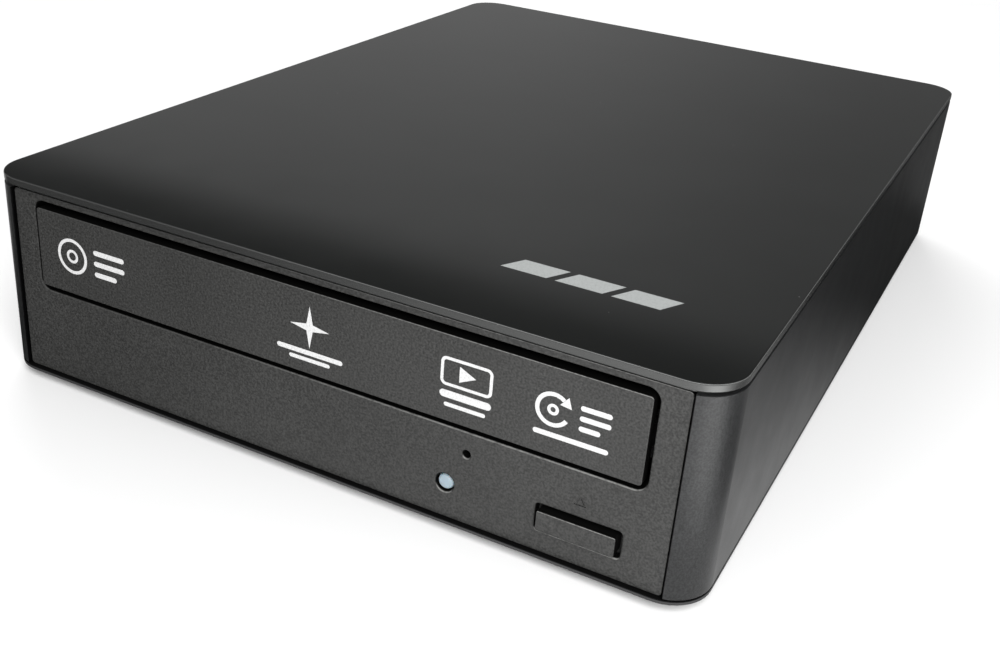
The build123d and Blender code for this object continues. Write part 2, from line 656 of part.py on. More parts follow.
with BuildPart() as drive_bezel:
    with BuildSketch(front_plane(BEZEL_BACK_Y)):
        with Locations((0, BEZEL_MID_Z)):
            RectangleRounded(BEZEL_W, BEZEL_H, BEZEL_CORNER_R)
    extrude(amount=BEZEL_T)
    fillet(drive_bezel.faces().sort_by(Axis.Y)[0].edges(), BEZEL_EDGE_R)
    # rim that locates the bezel on the steel cage, and the wall round the door opening
    with BuildSketch(front_plane(DRIVE_Y0)):
        rim_w = BEZEL_W - 2 * RIM_INSET
        rim_h = BEZEL_H - 2 * RIM_INSET
        with Locations((0, BEZEL_MID_Z)):
            RectangleRounded(rim_w, rim_h, BEZEL_CORNER_R)
            Rectangle(rim_w - 2 * RIM_SIDE_T, rim_h - 2 * RIM_TOP_T, mode=Mode.SUBTRACT)
        with Locations((0, DOOR_Z)):
            RectangleRounded(OPENING_W + 2 * TUNNEL_T, OPENING_H + 2 * TUNNEL_T, OPENING_R + TUNNEL_T)
        with Locations((0, BEZEL_MID_Z)):
            RectangleRounded(rim_w, rim_h, BEZEL_CORNER_R, mode=Mode.INTERSECT)
    extrude(amount=BEZEL_RIM)
    # door opening, button hole, light hole and emergency pin hole
    with BuildSketch(front_plane(DRIVE_Y0)):
        with Locations((0, DOOR_Z)):
            RectangleRounded(OPENING_W, OPENING_H, OPENING_R)
        with Locations((BUTTON_X, BUTTON_Z)):
            RectangleRounded(*BUTTON_HOLE, BUTTON_HOLE_R)
        with Locations((LIGHT_X, LIGHT_Z)):
            Circle(LIGHT_HOLE_R)
        with Locations((PIN_X, PIN_Z)):
            Circle(PIN_R)
    extrude(amount=BEZEL_T + BEZEL_RIM, mode=Mode.SUBTRACT)
    inner_edges = drive_bezel.faces().sort_by(Axis.Y)[0].inner_wires().edges()
    fillet(inner_edges, OPENING_EDGE_R)
    # shallow moulded eject mark over the button: the outline of a triangle
    with BuildSketch(front_plane(BEZEL_Y + MARK_DEPTH)):
        with Locations((BUTTON_X, MARK_Z)):
            RegularPolygon(MARK_R, 3, rotation=90)
            RegularPolygon(MARK_INNER_R, 3, rotation=90, mode=Mode.SUBTRACT)
    extrude(amount=MARK_DEPTH + PAST, mode=Mode.SUBTRACT)
    # snap tabs into the loader frame
    tab_x = (FRAME_IN_X - GAP - BEZEL_TAB_T, FRAME_IN_X - GAP)
    both_sides(tab_x, (BEZEL_BACK_Y, FRAME_Y0 + BEZEL_TAB_L), BEZEL_TAB_Z)
drive_bezel.part.label = "drive_bezel"
export_step(drive_bezel.part, "parts/drive_bezel.step")

# ---------------------------------------------------------------- light lens
LENS_R = 1.6
LENS_INSET = 0.4
LENS_EDGE_R = 0.5
LENS_FLANGE_R = 2.8
LENS_FLANGE_T = 0.8

with BuildPart() as light_lens:
    with Locations((LIGHT_X, 0, LIGHT_Z)):
        rod_along("Y", LENS_R, (BEZEL_Y + LENS_INSET, BEZEL_BACK_Y))
        rod_along("Y", LENS_FLANGE_R, (BEZEL_BACK_Y, BEZEL_BACK_Y + LENS_FLANGE_T))
    fillet(light_lens.faces().sort_by(Axis.Y)[0].edges(), LENS_EDGE_R)
light_lens.part.label = "light_lens"
export_step(light_lens.part, "parts/light_lens.step")

# ---------------------------------------------------------------- steel cage
CAGE_Y = (DRIVE_Y0, DRIVE_Y1)
LIP_H = 4.0
COVER_SCREW_X = 66.0
COVER_SCREW_YS = (-92.0, 8.0)
COVER_SCREW_R = 1.2
COVER_SCREW_HEAD_R = 1.9
COVER_SCREW_LENGTH = 6.0
DRIVE_BOARD_X = (-58.0, 58.0)
DRIVE_BOARD_Y = (-55.0, 57.5)
STUD_R = 2.4
STUD_XS = (-54.0, 54.0)
STUD_YS = (-50.0, 34.0)
STUD_BORE_R = 0.92
CAGE_EDGE_R = 0.6
LIP_INSET = 4.0
board_stud_places = [(x, y) for x in STUD_XS for y in STUD_YS]
cover_screw_places = [(side * COVER_SCREW_X, y) for side in (-1, 1) for y in COVER_SCREW_YS]
SOCKET_WALL = 1.5
socket_x = (PLUG_X[0] - SOCKET_WALL, PLUG_X[1] + SOCKET_WALL)
socket_z = (BOARD_TOP, PLUG_Z[1] + SOCKET_WALL)

with BuildPart() as drive_top_cover:
    block((-DRIVE_X, DRIVE_X), CAGE_Y, (DRIVE_Z0 + SHEET, DRIVE_Z1))
    inside_y = (DRIVE_Y0 - PAST, DRIVE_Y1 - SHEET)
    block((-DRIVE_INNER_X, DRIVE_INNER_X), inside_y, (DRIVE_Z0, DRIVE_Z1 - SHEET), Mode.SUBTRACT)
    fillet(drive_top_cover.edges().filter_by(Axis.Y).group_by(Axis.Z)[-1], CAGE_EDGE_R)
    with Locations(*[(0, y, DRIVE_SCREW_Z) for y in DRIVE_SCREW_YS]):
        rod_along("X", DRIVE_SCREW_R + GAP, (-DRIVE_X - PAST, DRIVE_X + PAST), Mode.SUBTRACT)
    # notch for the socket
    notch_x = (socket_x[0] - 2 * GAP, socket_x[1] + 2 * GAP)
    notch_y = (DRIVE_Y1 - SHEET - PAST, DRIVE_Y1 + PAST)
    block(notch_x, notch_y, (DRIVE_Z0, socket_z[1] + 2 * GAP), Mode.SUBTRACT)
drive_top_cover.part.label = "drive_top_cover"
export_step(drive_top_cover.part, "parts/drive_top_cover.step")

with BuildPart() as drive_bottom_plate:
    block((-DRIVE_X, DRIVE_X), CAGE_Y, (DRIVE_Z0, DRIVE_Z0 + SHEET))
    lip_x = (DRIVE_INNER_X - SHEET - GAP, DRIVE_INNER_X - GAP)
    lip_y = (DRIVE_Y0 + LIP_INSET, DRIVE_Y1 - LIP_INSET)
    both_sides(lip_x, lip_y, (DRIVE_Z0 + SHEET, DRIVE_Z0 + SHEET + LIP_H))
    with Locations(*[(x, y, 0) for x, y in board_stud_places]):
        post(STUD_R, (DRIVE_Z0 + SHEET, BOARD_Z))
        post(STUD_BORE_R, (DRIVE_Z0 + SHEET, BOARD_Z), Mode.SUBTRACT)
    with Locations(*[(x, y, DRIVE_Z0) for x, y in cover_screw_places]):
        countersink(COVER_SCREW_R, COVER_SCREW_HEAD_R, SHEET)
drive_bottom_plate.part.label = "drive_bottom_plate"
export_step(drive_bottom_plate.part, "parts/drive_bottom_plate.step")

with BuildPart() as cover_screws:
    with Locations(*[(x, y, DRIVE_Z0) for x, y in cover_screw_places]):
        countersunk_screw(COVER_SCREW_R, COVER_SCREW_LENGTH, COVER_SCREW_HEAD_R)
cover_screws.part.label = "cover_screws"
export_step(cover_screws.part, "parts/cover_screws.step")

# ---------------------------------------------------------------- gear train layout
PINION_TEETH = 18
WHEEL_TEETH = 30
PULLEY_TEETH = 12
PINION_R = MODULE * PINION_TEETH / 2
TRAIN_DISTANCE = MODULE * (WHEEL_TEETH + PULLEY_TEETH) / 2
TRAIN_ANGLE = 192.0
GEAR = (52.0, -86.0)
PULLEY = (
    GEAR[0] + TRAIN_DISTANCE * cos(radians(TRAIN_ANGLE)),
    GEAR[1] + TRAIN_DISTANCE * sin(radians(TRAIN_ANGLE)),
)
MOTOR = (0.0, -91.5)
RACK_X = GEAR[0] - PINION_R
RACK_TEETH = ceil(TRAY_TRAVEL / (MODULE * pi)) + 2
GEAR_STUD_R = 2.0
PULLEY_STUD_R = 1.5
DECK_Z = (16.0, 18.0)
BELT_Z = (18.9, 20.3)
BELT_T = 1.4
PULLEY_GROOVE_R = 10.3
MOTOR_GROOVE_R = 2.6

# ---------------------------------------------------------------- tilting deck layout
PIVOT = (44.0, 20.5)
LIFT_Z = (18.0, 23.0)
LIFT_X = 43.5
LIFT_WALL = 4.0
LIFT_Y = (-61.0, 54.0)
TRUNNION_R = 2.0
BEARING_X = (44.5, 48.5)
CAM_PIN_R = 1.5
CAM_PIN_X = 20.0
CAM_PIN_Z = 20.0
CAM_Y = (-66.0, -62.0)
CAM_Z = (8.6, 25.0)
CAM_HALF_W = 45.0
CAM_TRAVEL = 18.0
DECK_TILT = radians(4)

# ---------------------------------------------------------------- loader frame
GUIDE_IN_X = 66.0
LEDGE_T = 1.2
GUIDE_GAP = 0.1
GUIDE_Y = (FRAME_Y0, 50.0)
FRAME_BOSS_X = 62.0
BRIDGE_PAD_Z = 36.4
CLAMP_Y = (-62.0, -20.0)
CLAMP_SCREW_X = 66.0
CLAMP_SCREW_YS = (CLAMP_Y[0] + 8.0, CLAMP_Y[1] - 8.0)
clamp_screw_places = [(side * CLAMP_SCREW_X, y) for side in (-1, 1) for y in CLAMP_SCREW_YS]
FRONT_BOARD_X = (15.0, 61.0)
FRONT_BOARD_Y = (-102.5, -80.0)
BOARD_POST_R = 2.2
front_board_posts = [(x, FRONT_BOARD_Y[1] - 4.0) for x in (FRONT_BOARD_X[0] + 5.0, FRONT_BOARD_X[1] - 5.0)]
REAR_WALL_TOP = 16.0
CAM_WALL_T = 3.35
CAM_RUN = 0.15
SIDE_RIB_Z = (29.0, 31.0)
SIDE_RIBS_Y = ((FRAME_Y0, -60.0), (0.0, 50.0))
BEAM_HALF = 3.5
BEAM_Z = (9.0, 12.0)
BEARING_HALF = 4.0
BOSS_HALF = 4.0
FRAME_BOSS_TOP = 11.0
GEAR_STUD_TOP = 29.7
PULLEY_STUD_TOP = 25.2
MOTOR_HOLE_R = 5.0

with BuildPart() as loader_frame:
    both_sides((FRAME_IN_X, FRAME_X), (FRAME_Y0, FRAME_Y1), (FRAME_Z0, FRAME_Z1))
    # rear wall, with a window for the socket
    inside_x = (-FRAME_IN_X, FRAME_IN_X)
    block(inside_x, (FRAME_Y1 - FRAME_WALL, FRAME_Y1), (FRAME_Z0, REAR_WALL_TOP))
    window_x = (socket_x[0] - 0.5, socket_x[1] + 0.5)
    window_y = (FRAME_Y1 - FRAME_WALL - PAST, FRAME_Y1 + PAST)
    block(window_x, window_y, (FRAME_Z0 - PAST, socket_z[1] + 2 * GAP), Mode.SUBTRACT)
    # front deck for the gear train, and the wall behind it that guides the cam slider
    cam_wall_y = (CAM_Y[0] - CAM_RUN - CAM_WALL_T, CAM_Y[0] - CAM_RUN)
    block(inside_x, (FRAME_Y0, cam_wall_y[0]), DECK_Z)
    block(inside_x, cam_wall_y, (FRAME_Z0, DECK_Z[1]))
    block(inside_x, (cam_wall_y[0], CAM_Y[1] + 0.5), (CAM_Z[0] - GUIDE_GAP - LEDGE_T, CAM_Z[0] - GUIDE_GAP))
    # tray guides: a ledge under the rails, a strip over them and ribs beside them
    guide_x = (GUIDE_IN_X, FRAME_IN_X)
    both_sides(guide_x, GUIDE_Y, (RAIL_Z0 - LEDGE_T - GUIDE_GAP, RAIL_Z0 - GUIDE_GAP))
    both_sides(guide_x, GUIDE_Y, (TRAY_TOP + GUIDE_GAP, TRAY_TOP + GUIDE_GAP + LEDGE_T))
    for rib_y in SIDE_RIBS_Y:
        both_sides((TRAY_W / 2 + GUIDE_GAP, FRAME_IN_X), rib_y, SIDE_RIB_Z)
    # pads for the clamp bridge
    both_sides((FRAME_BOSS_X, FRAME_IN_X), CLAMP_Y, (BRIDGE_PAD_Z, FRAME_Z1))
    # cross beam and ribs that carry the deck's pivots
    block(inside_x, (PIVOT[0] - BEAM_HALF, PIVOT[0] + BEAM_HALF), BEAM_Z)
    bearing_y = (PIVOT[0] - BEARING_HALF, PIVOT[0] + BEARING_HALF)
    both_sides(BEARING_X, bearing_y, (BEAM_Z[0], PIVOT[1] + BEARING_HALF))
    # bosses down to the bottom plate
    for boss_y in COVER_SCREW_YS:
        boss_span = (boss_y - BOSS_HALF, boss_y + BOSS_HALF)
        both_sides((FRAME_BOSS_X, FRAME_X - PAST), boss_span, (DRIVE_Z0 + SHEET, FRAME_BOSS_TOP))
    # posts for the front board
    with Locations(*[(x, y, 0) for x, y in front_board_posts]):
        post(BOARD_POST_R, (BOARD_TOP, DECK_Z[0]))
    # studs for the gears
    with Locations((*GEAR, 0)):
        post(GEAR_STUD_R, (DECK_Z[0], GEAR_STUD_TOP))
    with Locations((*PULLEY, 0)):
        post(PULLEY_STUD_R, (DECK_Z[0], PULLEY_STUD_TOP))
    # hole for the motor pulley
    with Locations((*MOTOR, 0)):
        post(MOTOR_HOLE_R, (DECK_Z[0] - PAST, DECK_Z[1] + PAST), Mode.SUBTRACT)
    # pivot bearings
    with Locations((0, *PIVOT)):
        rod_along("X", TRUNNION_R + RUN, (-BEARING_X[1] - PAST, BEARING_X[1] + PAST), Mode.SUBTRACT)
    # screw holes
    with Locations(*[(x, y, 0) for x, y in cover_screw_places]):
        post(COVER_SCREW_R + FIT, (DRIVE_Z0, DRIVE_Z0 + COVER_SCREW_LENGTH), Mode.SUBTRACT)
    with Locations(*[(x, y, 0) for x, y in clamp_screw_places]):
        post(SMALL_SCREW_R + FIT, (BRIDGE_PAD_Z, FRAME_Z1 + PAST), Mode.SUBTRACT)
    with Locations(*[(0, y, DRIVE_SCREW_Z) for y in DRIVE_SCREW_YS]):
        rod_along("X", DRIVE_SCREW_R + FIT, (-FRAME_X - PAST, -FRAME_IN_X + PAST), Mode.SUBTRACT)
        rod_along("X", DRIVE_SCREW_R + FIT, (FRAME_IN_X - PAST, FRAME_X + PAST), Mode.SUBTRACT)
loader_frame.part.label = "loader_frame"
export_step(loader_frame.part, "parts/loader_frame.step")

# ---------------------------------------------------------------- clamp bridge
BRIDGE_STEEL = 1.0
FLANGE_H = 2.6
PUCK_HOLE_R = 12.5
BRIDGE_BITE = 2.4

with BuildPart() as clamp_bridge:
    bridge_x = (-FRAME_X, FRAME_X)
    block(bridge_x, CLAMP_Y, (FRAME_Z1, FRAME_Z1 + BRIDGE_STEEL))
    block(bridge_x, (CLAMP_Y[0], CLAMP_Y[0] + BRIDGE_STEEL), (FRAME_Z1, FRAME_Z1 + FLANGE_H))
    block(bridge_x, (CLAMP_Y[1] - BRIDGE_STEEL, CLAMP_Y[1]), (FRAME_Z1, FRAME_Z1 + FLANGE_H))
    with Locations((0, DISC_Y, 0)):
        post(PUCK_HOLE_R, (FRAME_Z1 - PAST, FRAME_Z1 + BRIDGE_STEEL + PAST), Mode.SUBTRACT)
    with Locations(*[(x, y, 0) for x, y in clamp_screw_places]):
        post(SMALL_SCREW_R + FIT, (FRAME_Z1 - PAST, FRAME_Z1 + BRIDGE_STEEL + PAST), Mode.SUBTRACT)
clamp_bridge.part.label = "clamp_bridge"
export_step(clamp_bridge.part, "parts/clamp_bridge.step")

with BuildPart() as bridge_screws:
    with Locations(*[(x, y, FRAME_Z1 + BRIDGE_STEEL) for x, y in clamp_screw_places]):
        pan_screw(SMALL_SCREW_R, BRIDGE_STEEL + BRIDGE_BITE, *BOARD_SCREW_HEAD)
bridge_screws.part.label = "bridge_screws"
export_step(bridge_screws.part, "parts/bridge_screws.step")

# ---------------------------------------------------------------- drive electronics
STUD_SCREW = (0.9, BOARD_T + 1.2, 1.9, 1.0)
STUD_HOLE_R = 1.1
SOCKET_Y0 = 51.0
SWITCH_FRONT_Y = DRIVE_Y0 + 1.5
SWITCH_W = 6.0
SWITCH_D = 4.0
SWITCH_TIP_R = 1.5
SWITCH_TIP_L = 0.6
LED_W = 3.0
LED_TIP_R = 1.3
LED_TIP_L = 1.2

with BuildPart() as drive_board:
    block(DRIVE_BOARD_X, DRIVE_BOARD_Y, (BOARD_Z, BOARD_TOP))
    with Locations(*[(x, y, 0) for x, y in board_stud_places]):
        post(STUD_HOLE_R, (BOARD_Z - PAST, BOARD_TOP + PAST), Mode.SUBTRACT)
drive_board.part.label = "drive_board"
export_step(drive_board.part, "parts/drive_board.step")

with BuildPart() as drive_board_chips:
    # signal processor, memory, motor driver, power stage and ribbon socket
    chip((-6.0, 2.0), (16.0, 16.0), BOARD_TOP, 1.2)
    chip((17.0, 2.0), (10.0, 8.0), BOARD_TOP, 1.0)
    chip((-30.0, 16.0), (8.0, 8.0), BOARD_TOP, 1.0)
    chip((-44.0, -26.0), (12.0, 8.0), BOARD_TOP, 1.4)
    chip((-8.0, 26.0), (24.0, 4.0), BOARD_TOP, 1.6)
drive_board_chips.part.label = "drive_board_chips"
export_step(drive_board_chips.part, "parts/drive_board_chips.step")

with BuildPart() as drive_board_screws:
    with Locations(*[(x, y, BOARD_TOP) for x, y in board_stud_places]):
        pan_screw(*STUD_SCREW)
drive_board_screws.part.label = "drive_board_screws"
export_step(drive_board_screws.part, "parts/drive_board_screws.step")

with BuildPart() as drive_socket:
    block(socket_x, (SOCKET_Y0, DRIVE_Y1), socket_z)
    well_x = (PLUG_X[0] - GAP, PLUG_X[1] + GAP)
    well_z = (PLUG_Z[0] - GAP, PLUG_Z[1] + GAP)
    block(well_x, (PLUG_Y[0] - GAP, DRIVE_Y1 + PAST), well_z, Mode.SUBTRACT)
drive_socket.part.label = "drive_socket"
export_step(drive_socket.part, "parts/drive_socket.step")

with BuildPart() as front_board:
    block(FRONT_BOARD_X, FRONT_BOARD_Y, (BOARD_Z, BOARD_TOP))
front_board.part.label = "front_board"
export_step(front_board.part, "parts/front_board.step")

with BuildPart() as eject_switch:
    switch_span = (BUTTON_X - SWITCH_W / 2, BUTTON_X + SWITCH_W / 2)
    block(switch_span, (SWITCH_FRONT_Y, SWITCH_FRONT_Y + SWITCH_D), (BOARD_TOP, BUTTON_Z + 2.4))
    with Locations((BUTTON_X, 0, BUTTON_Z)):
        rod_along("Y", SWITCH_TIP_R, (SWITCH_FRONT_Y - SWITCH_TIP_L, SWITCH_FRONT_Y))
eject_switch.part.label = "eject_switch"
export_step(eject_switch.part, "parts/eject_switch.step")

with BuildPart() as activity_led:
    led_span = (LIGHT_X - LED_W / 2, LIGHT_X + LED_W / 2)
    block(led_span, (SWITCH_FRONT_Y, SWITCH_FRONT_Y + LED_W), (BOARD_TOP, LIGHT_Z + LED_W / 2))
    with Locations((LIGHT_X, 0, LIGHT_Z)):
        rod_along("Y", LED_TIP_R, (SWITCH_FRONT_Y - LED_TIP_L, SWITCH_FRONT_Y))
activity_led.part.label = "activity_led"
export_step(activity_led.part, "parts/activity_led.step")

# ---------------------------------------------------------------- loading motor and belt
MOTOR_R = 12.0
MOTOR_Z = (6.0, DECK_Z[0] - GAP)
MOTOR_NECK_R = 3.0
MOTOR_SHAFT_R = 1.0
SHAFT_RUN = 0.03
SHAFT_BORE_Z0 = MOTOR_Z[1] - 5.0

with BuildPart() as loading_motor:
    with Locations((*MOTOR, 0)):
        post(MOTOR_R, MOTOR_Z)
        post(MOTOR_NECK_R, (MOTOR_Z[1], DECK_Z[1] - 0.6))
        post(MOTOR_SHAFT_R + SHAFT_RUN, (SHAFT_BORE_Z0, DECK_Z[1]), Mode.SUBTRACT)
loading_motor.part.label = "loading_motor"
export_step(loading_motor.part, "parts/loading_motor.step")


def belt_loop(extra, mode=Mode.ADD):
    """Region inside the belt's run, grown outwards from the two grooves by extra."""
    with BuildSketch(Plane.XY.offset(BELT_Z[0])) as loop:
        with Locations(MOTOR):
            Circle(MOTOR_GROOVE_R + RUN + extra)
        with Locations(PULLEY):
            Circle(PULLEY_GROOVE_R + RUN + extra)
        make_hull()
    extrude(loop.sketch, amount=BELT_Z[1] - BELT_Z[0], mode=mode)


with BuildPart() as loading_belt:
    belt_loop(BELT_T)
    belt_loop(0, Mode.SUBTRACT)
loading_belt.part.label = "loading_belt"
export_step(loading_belt.part, "parts/loading_belt.step")

# ================================================================ DRIVE, MOVING PIECES
# ---------------------------------------------------------------- tray
TRAY_Y0 = BEZEL_Y - DOOR_PROUD + DOOR_T
TRAY_CORNER_R = 1.5
TRAY_RAIL_W = 2.0
RAIL_INSET = 1.5
RECESS_PLAY = 0.5
RECESS_EDGE_R = 0.5
NOTCH_X = 46.0
NOTCH_Y = DISC_Y - 48.0
NOTCH_R = 10.0
RACK_BODY = 3.0
RACK_FRONT_Y = GEAR[1] - 2 * MODULE * pi
RACK_BACK_X = RACK_X - DEDENDUM - RACK_BODY
DOOR_CORNER_R = 0.7
DOOR_EDGE_R = 0.2
DOOR_TAB_X = (24.0, 34.0)
DOOR_TAB_L = 4.5
DOOR_TAB_T = 1.6


def rack_outline():
    """Rack tooth outline, teeth towards +X, a gap centred on the pinion's own y."""
    pitch = MODULE * pi
    half_pitch_line = (pitch / 2 - BACKLASH) / 2
    half_tip = half_pitch_line - ADDENDUM * tan(PRESSURE_ANGLE)
    half_root = half_pitch_line + DEDENDUM * tan(PRESSURE_ANGLE)
    tip_x = RACK_X + ADDENDUM
    root_x = RACK_X - DEDENDUM
    corners = []
    for index in range(RACK_TEETH):
        y = RACK_FRONT_Y + pitch * (index + 0.5)
        corners += [(root_x, y - half_root), (tip_x, y - half_tip)]
        corners += [(tip_x, y + half_tip), (root_x, y + half_root)]
    rack_end = RACK_FRONT_Y + pitch * RACK_TEETH
    front = [(RACK_BACK_X, RACK_FRONT_Y), (root_x, RACK_FRONT_Y)]
    rear = [(root_x, rack_end), (RACK_BACK_X, rack_end)]
    return front + corners + rear


with BuildPart() as disc_tray:
    with BuildSketch(Plane.XY.offset(TRAY_Z0)):
        with Locations((0, (TRAY_Y0 + TRAY_Y1) / 2)):
            RectangleRounded(TRAY_W, TRAY_Y1 - TRAY_Y0, TRAY_CORNER_R)
    extrude(amount=TRAY_TOP - TRAY_Z0)
    # recess for a full-size disc, with two finger notches at its front
    with BuildSketch(Plane.XY.offset(TRAY_FLOOR)):
        with Locations((0, DISC_Y)):
            Circle(DISC_R + RECESS_PLAY)
        with Locations((-NOTCH_X, NOTCH_Y), (NOTCH_X, NOTCH_Y)):
            Circle(NOTCH_R)
    extrude(amount=TRAY_TOP - TRAY_FLOOR, mode=Mode.SUBTRACT)
    fillet(disc_tray.faces().sort_by(Axis.Z)[-1].inner_wires().edges(), RECESS_EDGE_R)
    # deeper recess for a small disc
    with BuildSketch(Plane.XY.offset(TRAY_SMALL_FLOOR)):
        with Locations((0, DISC_Y)):
            Circle(SMALL_DISC_R + RECESS_PLAY)
    extrude(amount=TRAY_TOP - TRAY_SMALL_FLOOR, mode=Mode.SUBTRACT)
    # slot for the turntable and the pickup, open to the rear
    with BuildSketch(Plane.XY.offset(TRAY_Z0)):
        with Locations((0, DISC_Y)):
            Circle(SLOT_R)
        with Locations((0, DISC_Y)):
            Rectangle(2 * SLOT_R, TRAY_Y1 + PAST - DISC_Y, align=(Align.CENTER, Align.MIN))
    extrude(amount=TRAY_TOP - TRAY_Z0, mode=Mode.SUBTRACT)
    # rails at both sides, and the rack
    rail_y = (TRAY_Y0 + RAIL_INSET, TRAY_Y1 - RAIL_INSET)
    both_sides((TRAY_W / 2 - TRAY_RAIL_W, TRAY_W / 2), rail_y, (RAIL_Z0, TRAY_Z0))
    with BuildSketch(Plane.XY.offset(RACK_Z0)):
        with BuildLine():
            Polyline(*rack_outline(), close=True)
        make_face()
    extrude(amount=TRAY_Z0 - RACK_Z0)
disc_tray.part.label = "disc_tray"
export_step(disc_tray.part, "parts/disc_tray.step")

with BuildPart() as tray_door:
    with BuildSketch(front_plane(TRAY_Y0)):
        with Locations((0, DOOR_Z)):
            RectangleRounded(DOOR_W, DOOR_H, DOOR_CORNER_R)
    extrude(amount=DOOR_T)
    fillet(tray_door.faces().sort_by(Axis.Y)[0].edges(), DOOR_EDGE_R)
    # clips under the tray's front edge
    both_sides(DOOR_TAB_X, (TRAY_Y0, TRAY_Y0 + DOOR_TAB_L), (TRAY_Z0 - DOOR_TAB_T, TRAY_Z0))
tray_door.part.label = "tray_door"
export_step(tray_door.part, "parts/tray_door.step")

# ---------------------------------------------------------------- eject button
BUTTON_PROUD = 1.2
BUTTON_CORNER_R = 0.4
BUTTON_EDGE_R = 0.2
BUTTON_PRESS = 0.8
BUTTON_FLANGE = (BUTTON_HOLE[0] + 1.6, BUTTON_HOLE[1] + 1.2)
BUTTON_STEM = (4.0, 2.8)
button_flange_y = (BEZEL_BACK_Y + GAP, BEZEL_BACK_Y + 1.0)
button_stem_y = SWITCH_FRONT_Y - SWITCH_TIP_L - BUTTON_PRESS - GAP

with BuildPart() as eject_button:
    with BuildSketch(front_plane(button_flange_y[0])):
        with Locations((BUTTON_X, BUTTON_Z)):
            RectangleRounded(*BUTTON_SIZE, BUTTON_CORNER_R)
    extrude(amount=BEZEL_T + GAP + BUTTON_PROUD)
    fillet(eject_button.faces().sort_by(Axis.Y)[0].edges(), BUTTON_EDGE_R)
    # flange that keeps the button in, and the stem that reaches the switch
    with BuildSketch(front_plane(button_flange_y[1])):
        with Locations((BUTTON_X, BUTTON_Z)):
            Rectangle(*BUTTON_FLANGE)
    extrude(amount=button_flange_y[1] - button_flange_y[0])
    with BuildSketch(front_plane(button_stem_y)):
        with Locations((BUTTON_X, BUTTON_Z)):
            Rectangle(*BUTTON_STEM)
    extrude(amount=button_stem_y - button_flange_y[1])
eject_button.part.label = "eject_button"
export_step(eject_button.part, "parts/eject_button.step")

# ---------------------------------------------------------------- gears
PINION_TOOTH_ANGLE = 180.0
WHEEL_TOOTH_ANGLE = TRAIN_ANGLE
PULLEY_TOOTH_ANGLE = TRAIN_ANGLE - 180.0 + 180.0 / PULLEY_TEETH
GEAR_FLOAT = 0.2
GEAR_HUB_R = 5.0
WHEEL_Z = (22.0, 24.5)
PINION_Z = (26.5, 29.4)
PULLEY_LIP = 1.6
PULLEY_LIP_TOP = BELT_Z[1] + 0.7
PULLEY_GEAR_TOP = 24.8
MOTOR_LIP = 1.4
MOTOR_SHAFT_Z0 = SHAFT_BORE_Z0 + PAST

with BuildPart() as drive_gear:
    with Locations((*GEAR, 0)):
        post(GEAR_HUB_R, (DECK_Z[1] + GEAR_FLOAT, PINION_Z[0]))
    spur_gear(GEAR, WHEEL_TEETH, WHEEL_TOOTH_ANGLE, WHEEL_Z)
    spur_gear(GEAR, PINION_TEETH, PINION_TOOTH_ANGLE, PINION_Z)
    with Locations((*GEAR, 0)):
        post(GEAR_STUD_R + RUN, (DECK_Z[1], PINION_Z[1] + PAST), Mode.SUBTRACT)
drive_gear.part.label = "drive_gear"
export_step(drive_gear.part, "parts/drive_gear.step")

with BuildPart() as pulley_gear:
    with Locations((*PULLEY, 0)):
        post(PULLEY_GROOVE_R + PULLEY_LIP, (DECK_Z[1] + GEAR_FLOAT, BELT_Z[0] - RUN))
        post(PULLEY_GROOVE_R, (BELT_Z[0] - RUN, BELT_Z[1] + RUN))
        post(PULLEY_GROOVE_R + PULLEY_LIP, (BELT_Z[1] + RUN, PULLEY_LIP_TOP))
    spur_gear(PULLEY, PULLEY_TEETH, PULLEY_TOOTH_ANGLE, (PULLEY_LIP_TOP, PULLEY_GEAR_TOP))
    with Locations((*PULLEY, 0)):
        post(PULLEY_STUD_R + RUN, (DECK_Z[1], PULLEY_GEAR_TOP + PAST), Mode.SUBTRACT)
pulley_gear.part.label = "pulley_gear"
export_step(pulley_gear.part, "parts/pulley_gear.step")

with BuildPart() as motor_pulley:
    with Locations((*MOTOR, 0)):
        post(MOTOR_SHAFT_R, (MOTOR_SHAFT_Z0, DECK_Z[1]))
        post(MOTOR_GROOVE_R + MOTOR_LIP, (DECK_Z[1] - 2 * GAP, BELT_Z[0] - RUN))
        post(MOTOR_GROOVE_R, (BELT_Z[0] - RUN, BELT_Z[1] + RUN))
        post(MOTOR_GROOVE_R + MOTOR_LIP, (BELT_Z[1] + RUN, PULLEY_LIP_TOP))
motor_pulley.part.label = "motor_pulley"
export_step(motor_pulley.part, "parts/motor_pulley.step")

# ---------------------------------------------------------------- cam slider
CAM_SLOT_CLEARANCE = 0.35
pin_arm = PIVOT[0] - (CAM_Y[0] + CAM_Y[1]) / 2
cam_drop = pin_arm * sin(DECK_TILT)
slot_length = hypot(CAM_TRAVEL, cam_drop)
slot_angle = degrees(atan2(cam_drop, CAM_TRAVEL))

with BuildPart() as cam_slider:
    block((-CAM_HALF_W, CAM_HALF_W), CAM_Y, CAM_Z)
    with BuildSketch(front_plane(CAM_Y[1])):
        for pin_x in (-CAM_PIN_X, CAM_PIN_X):
            with Locations((pin_x - CAM_TRAVEL / 2, CAM_PIN_Z - cam_drop / 2)):
                SlotCenterToCenter(slot_length, 2 * (CAM_PIN_R + CAM_SLOT_CLEARANCE), rotation=slot_angle)
    extrude(amount=CAM_Y[1] - CAM_Y[0], mode=Mode.SUBTRACT)
cam_slider.part.label = "cam_slider"
export_step(cam_slider.part, "parts/cam_slider.step")

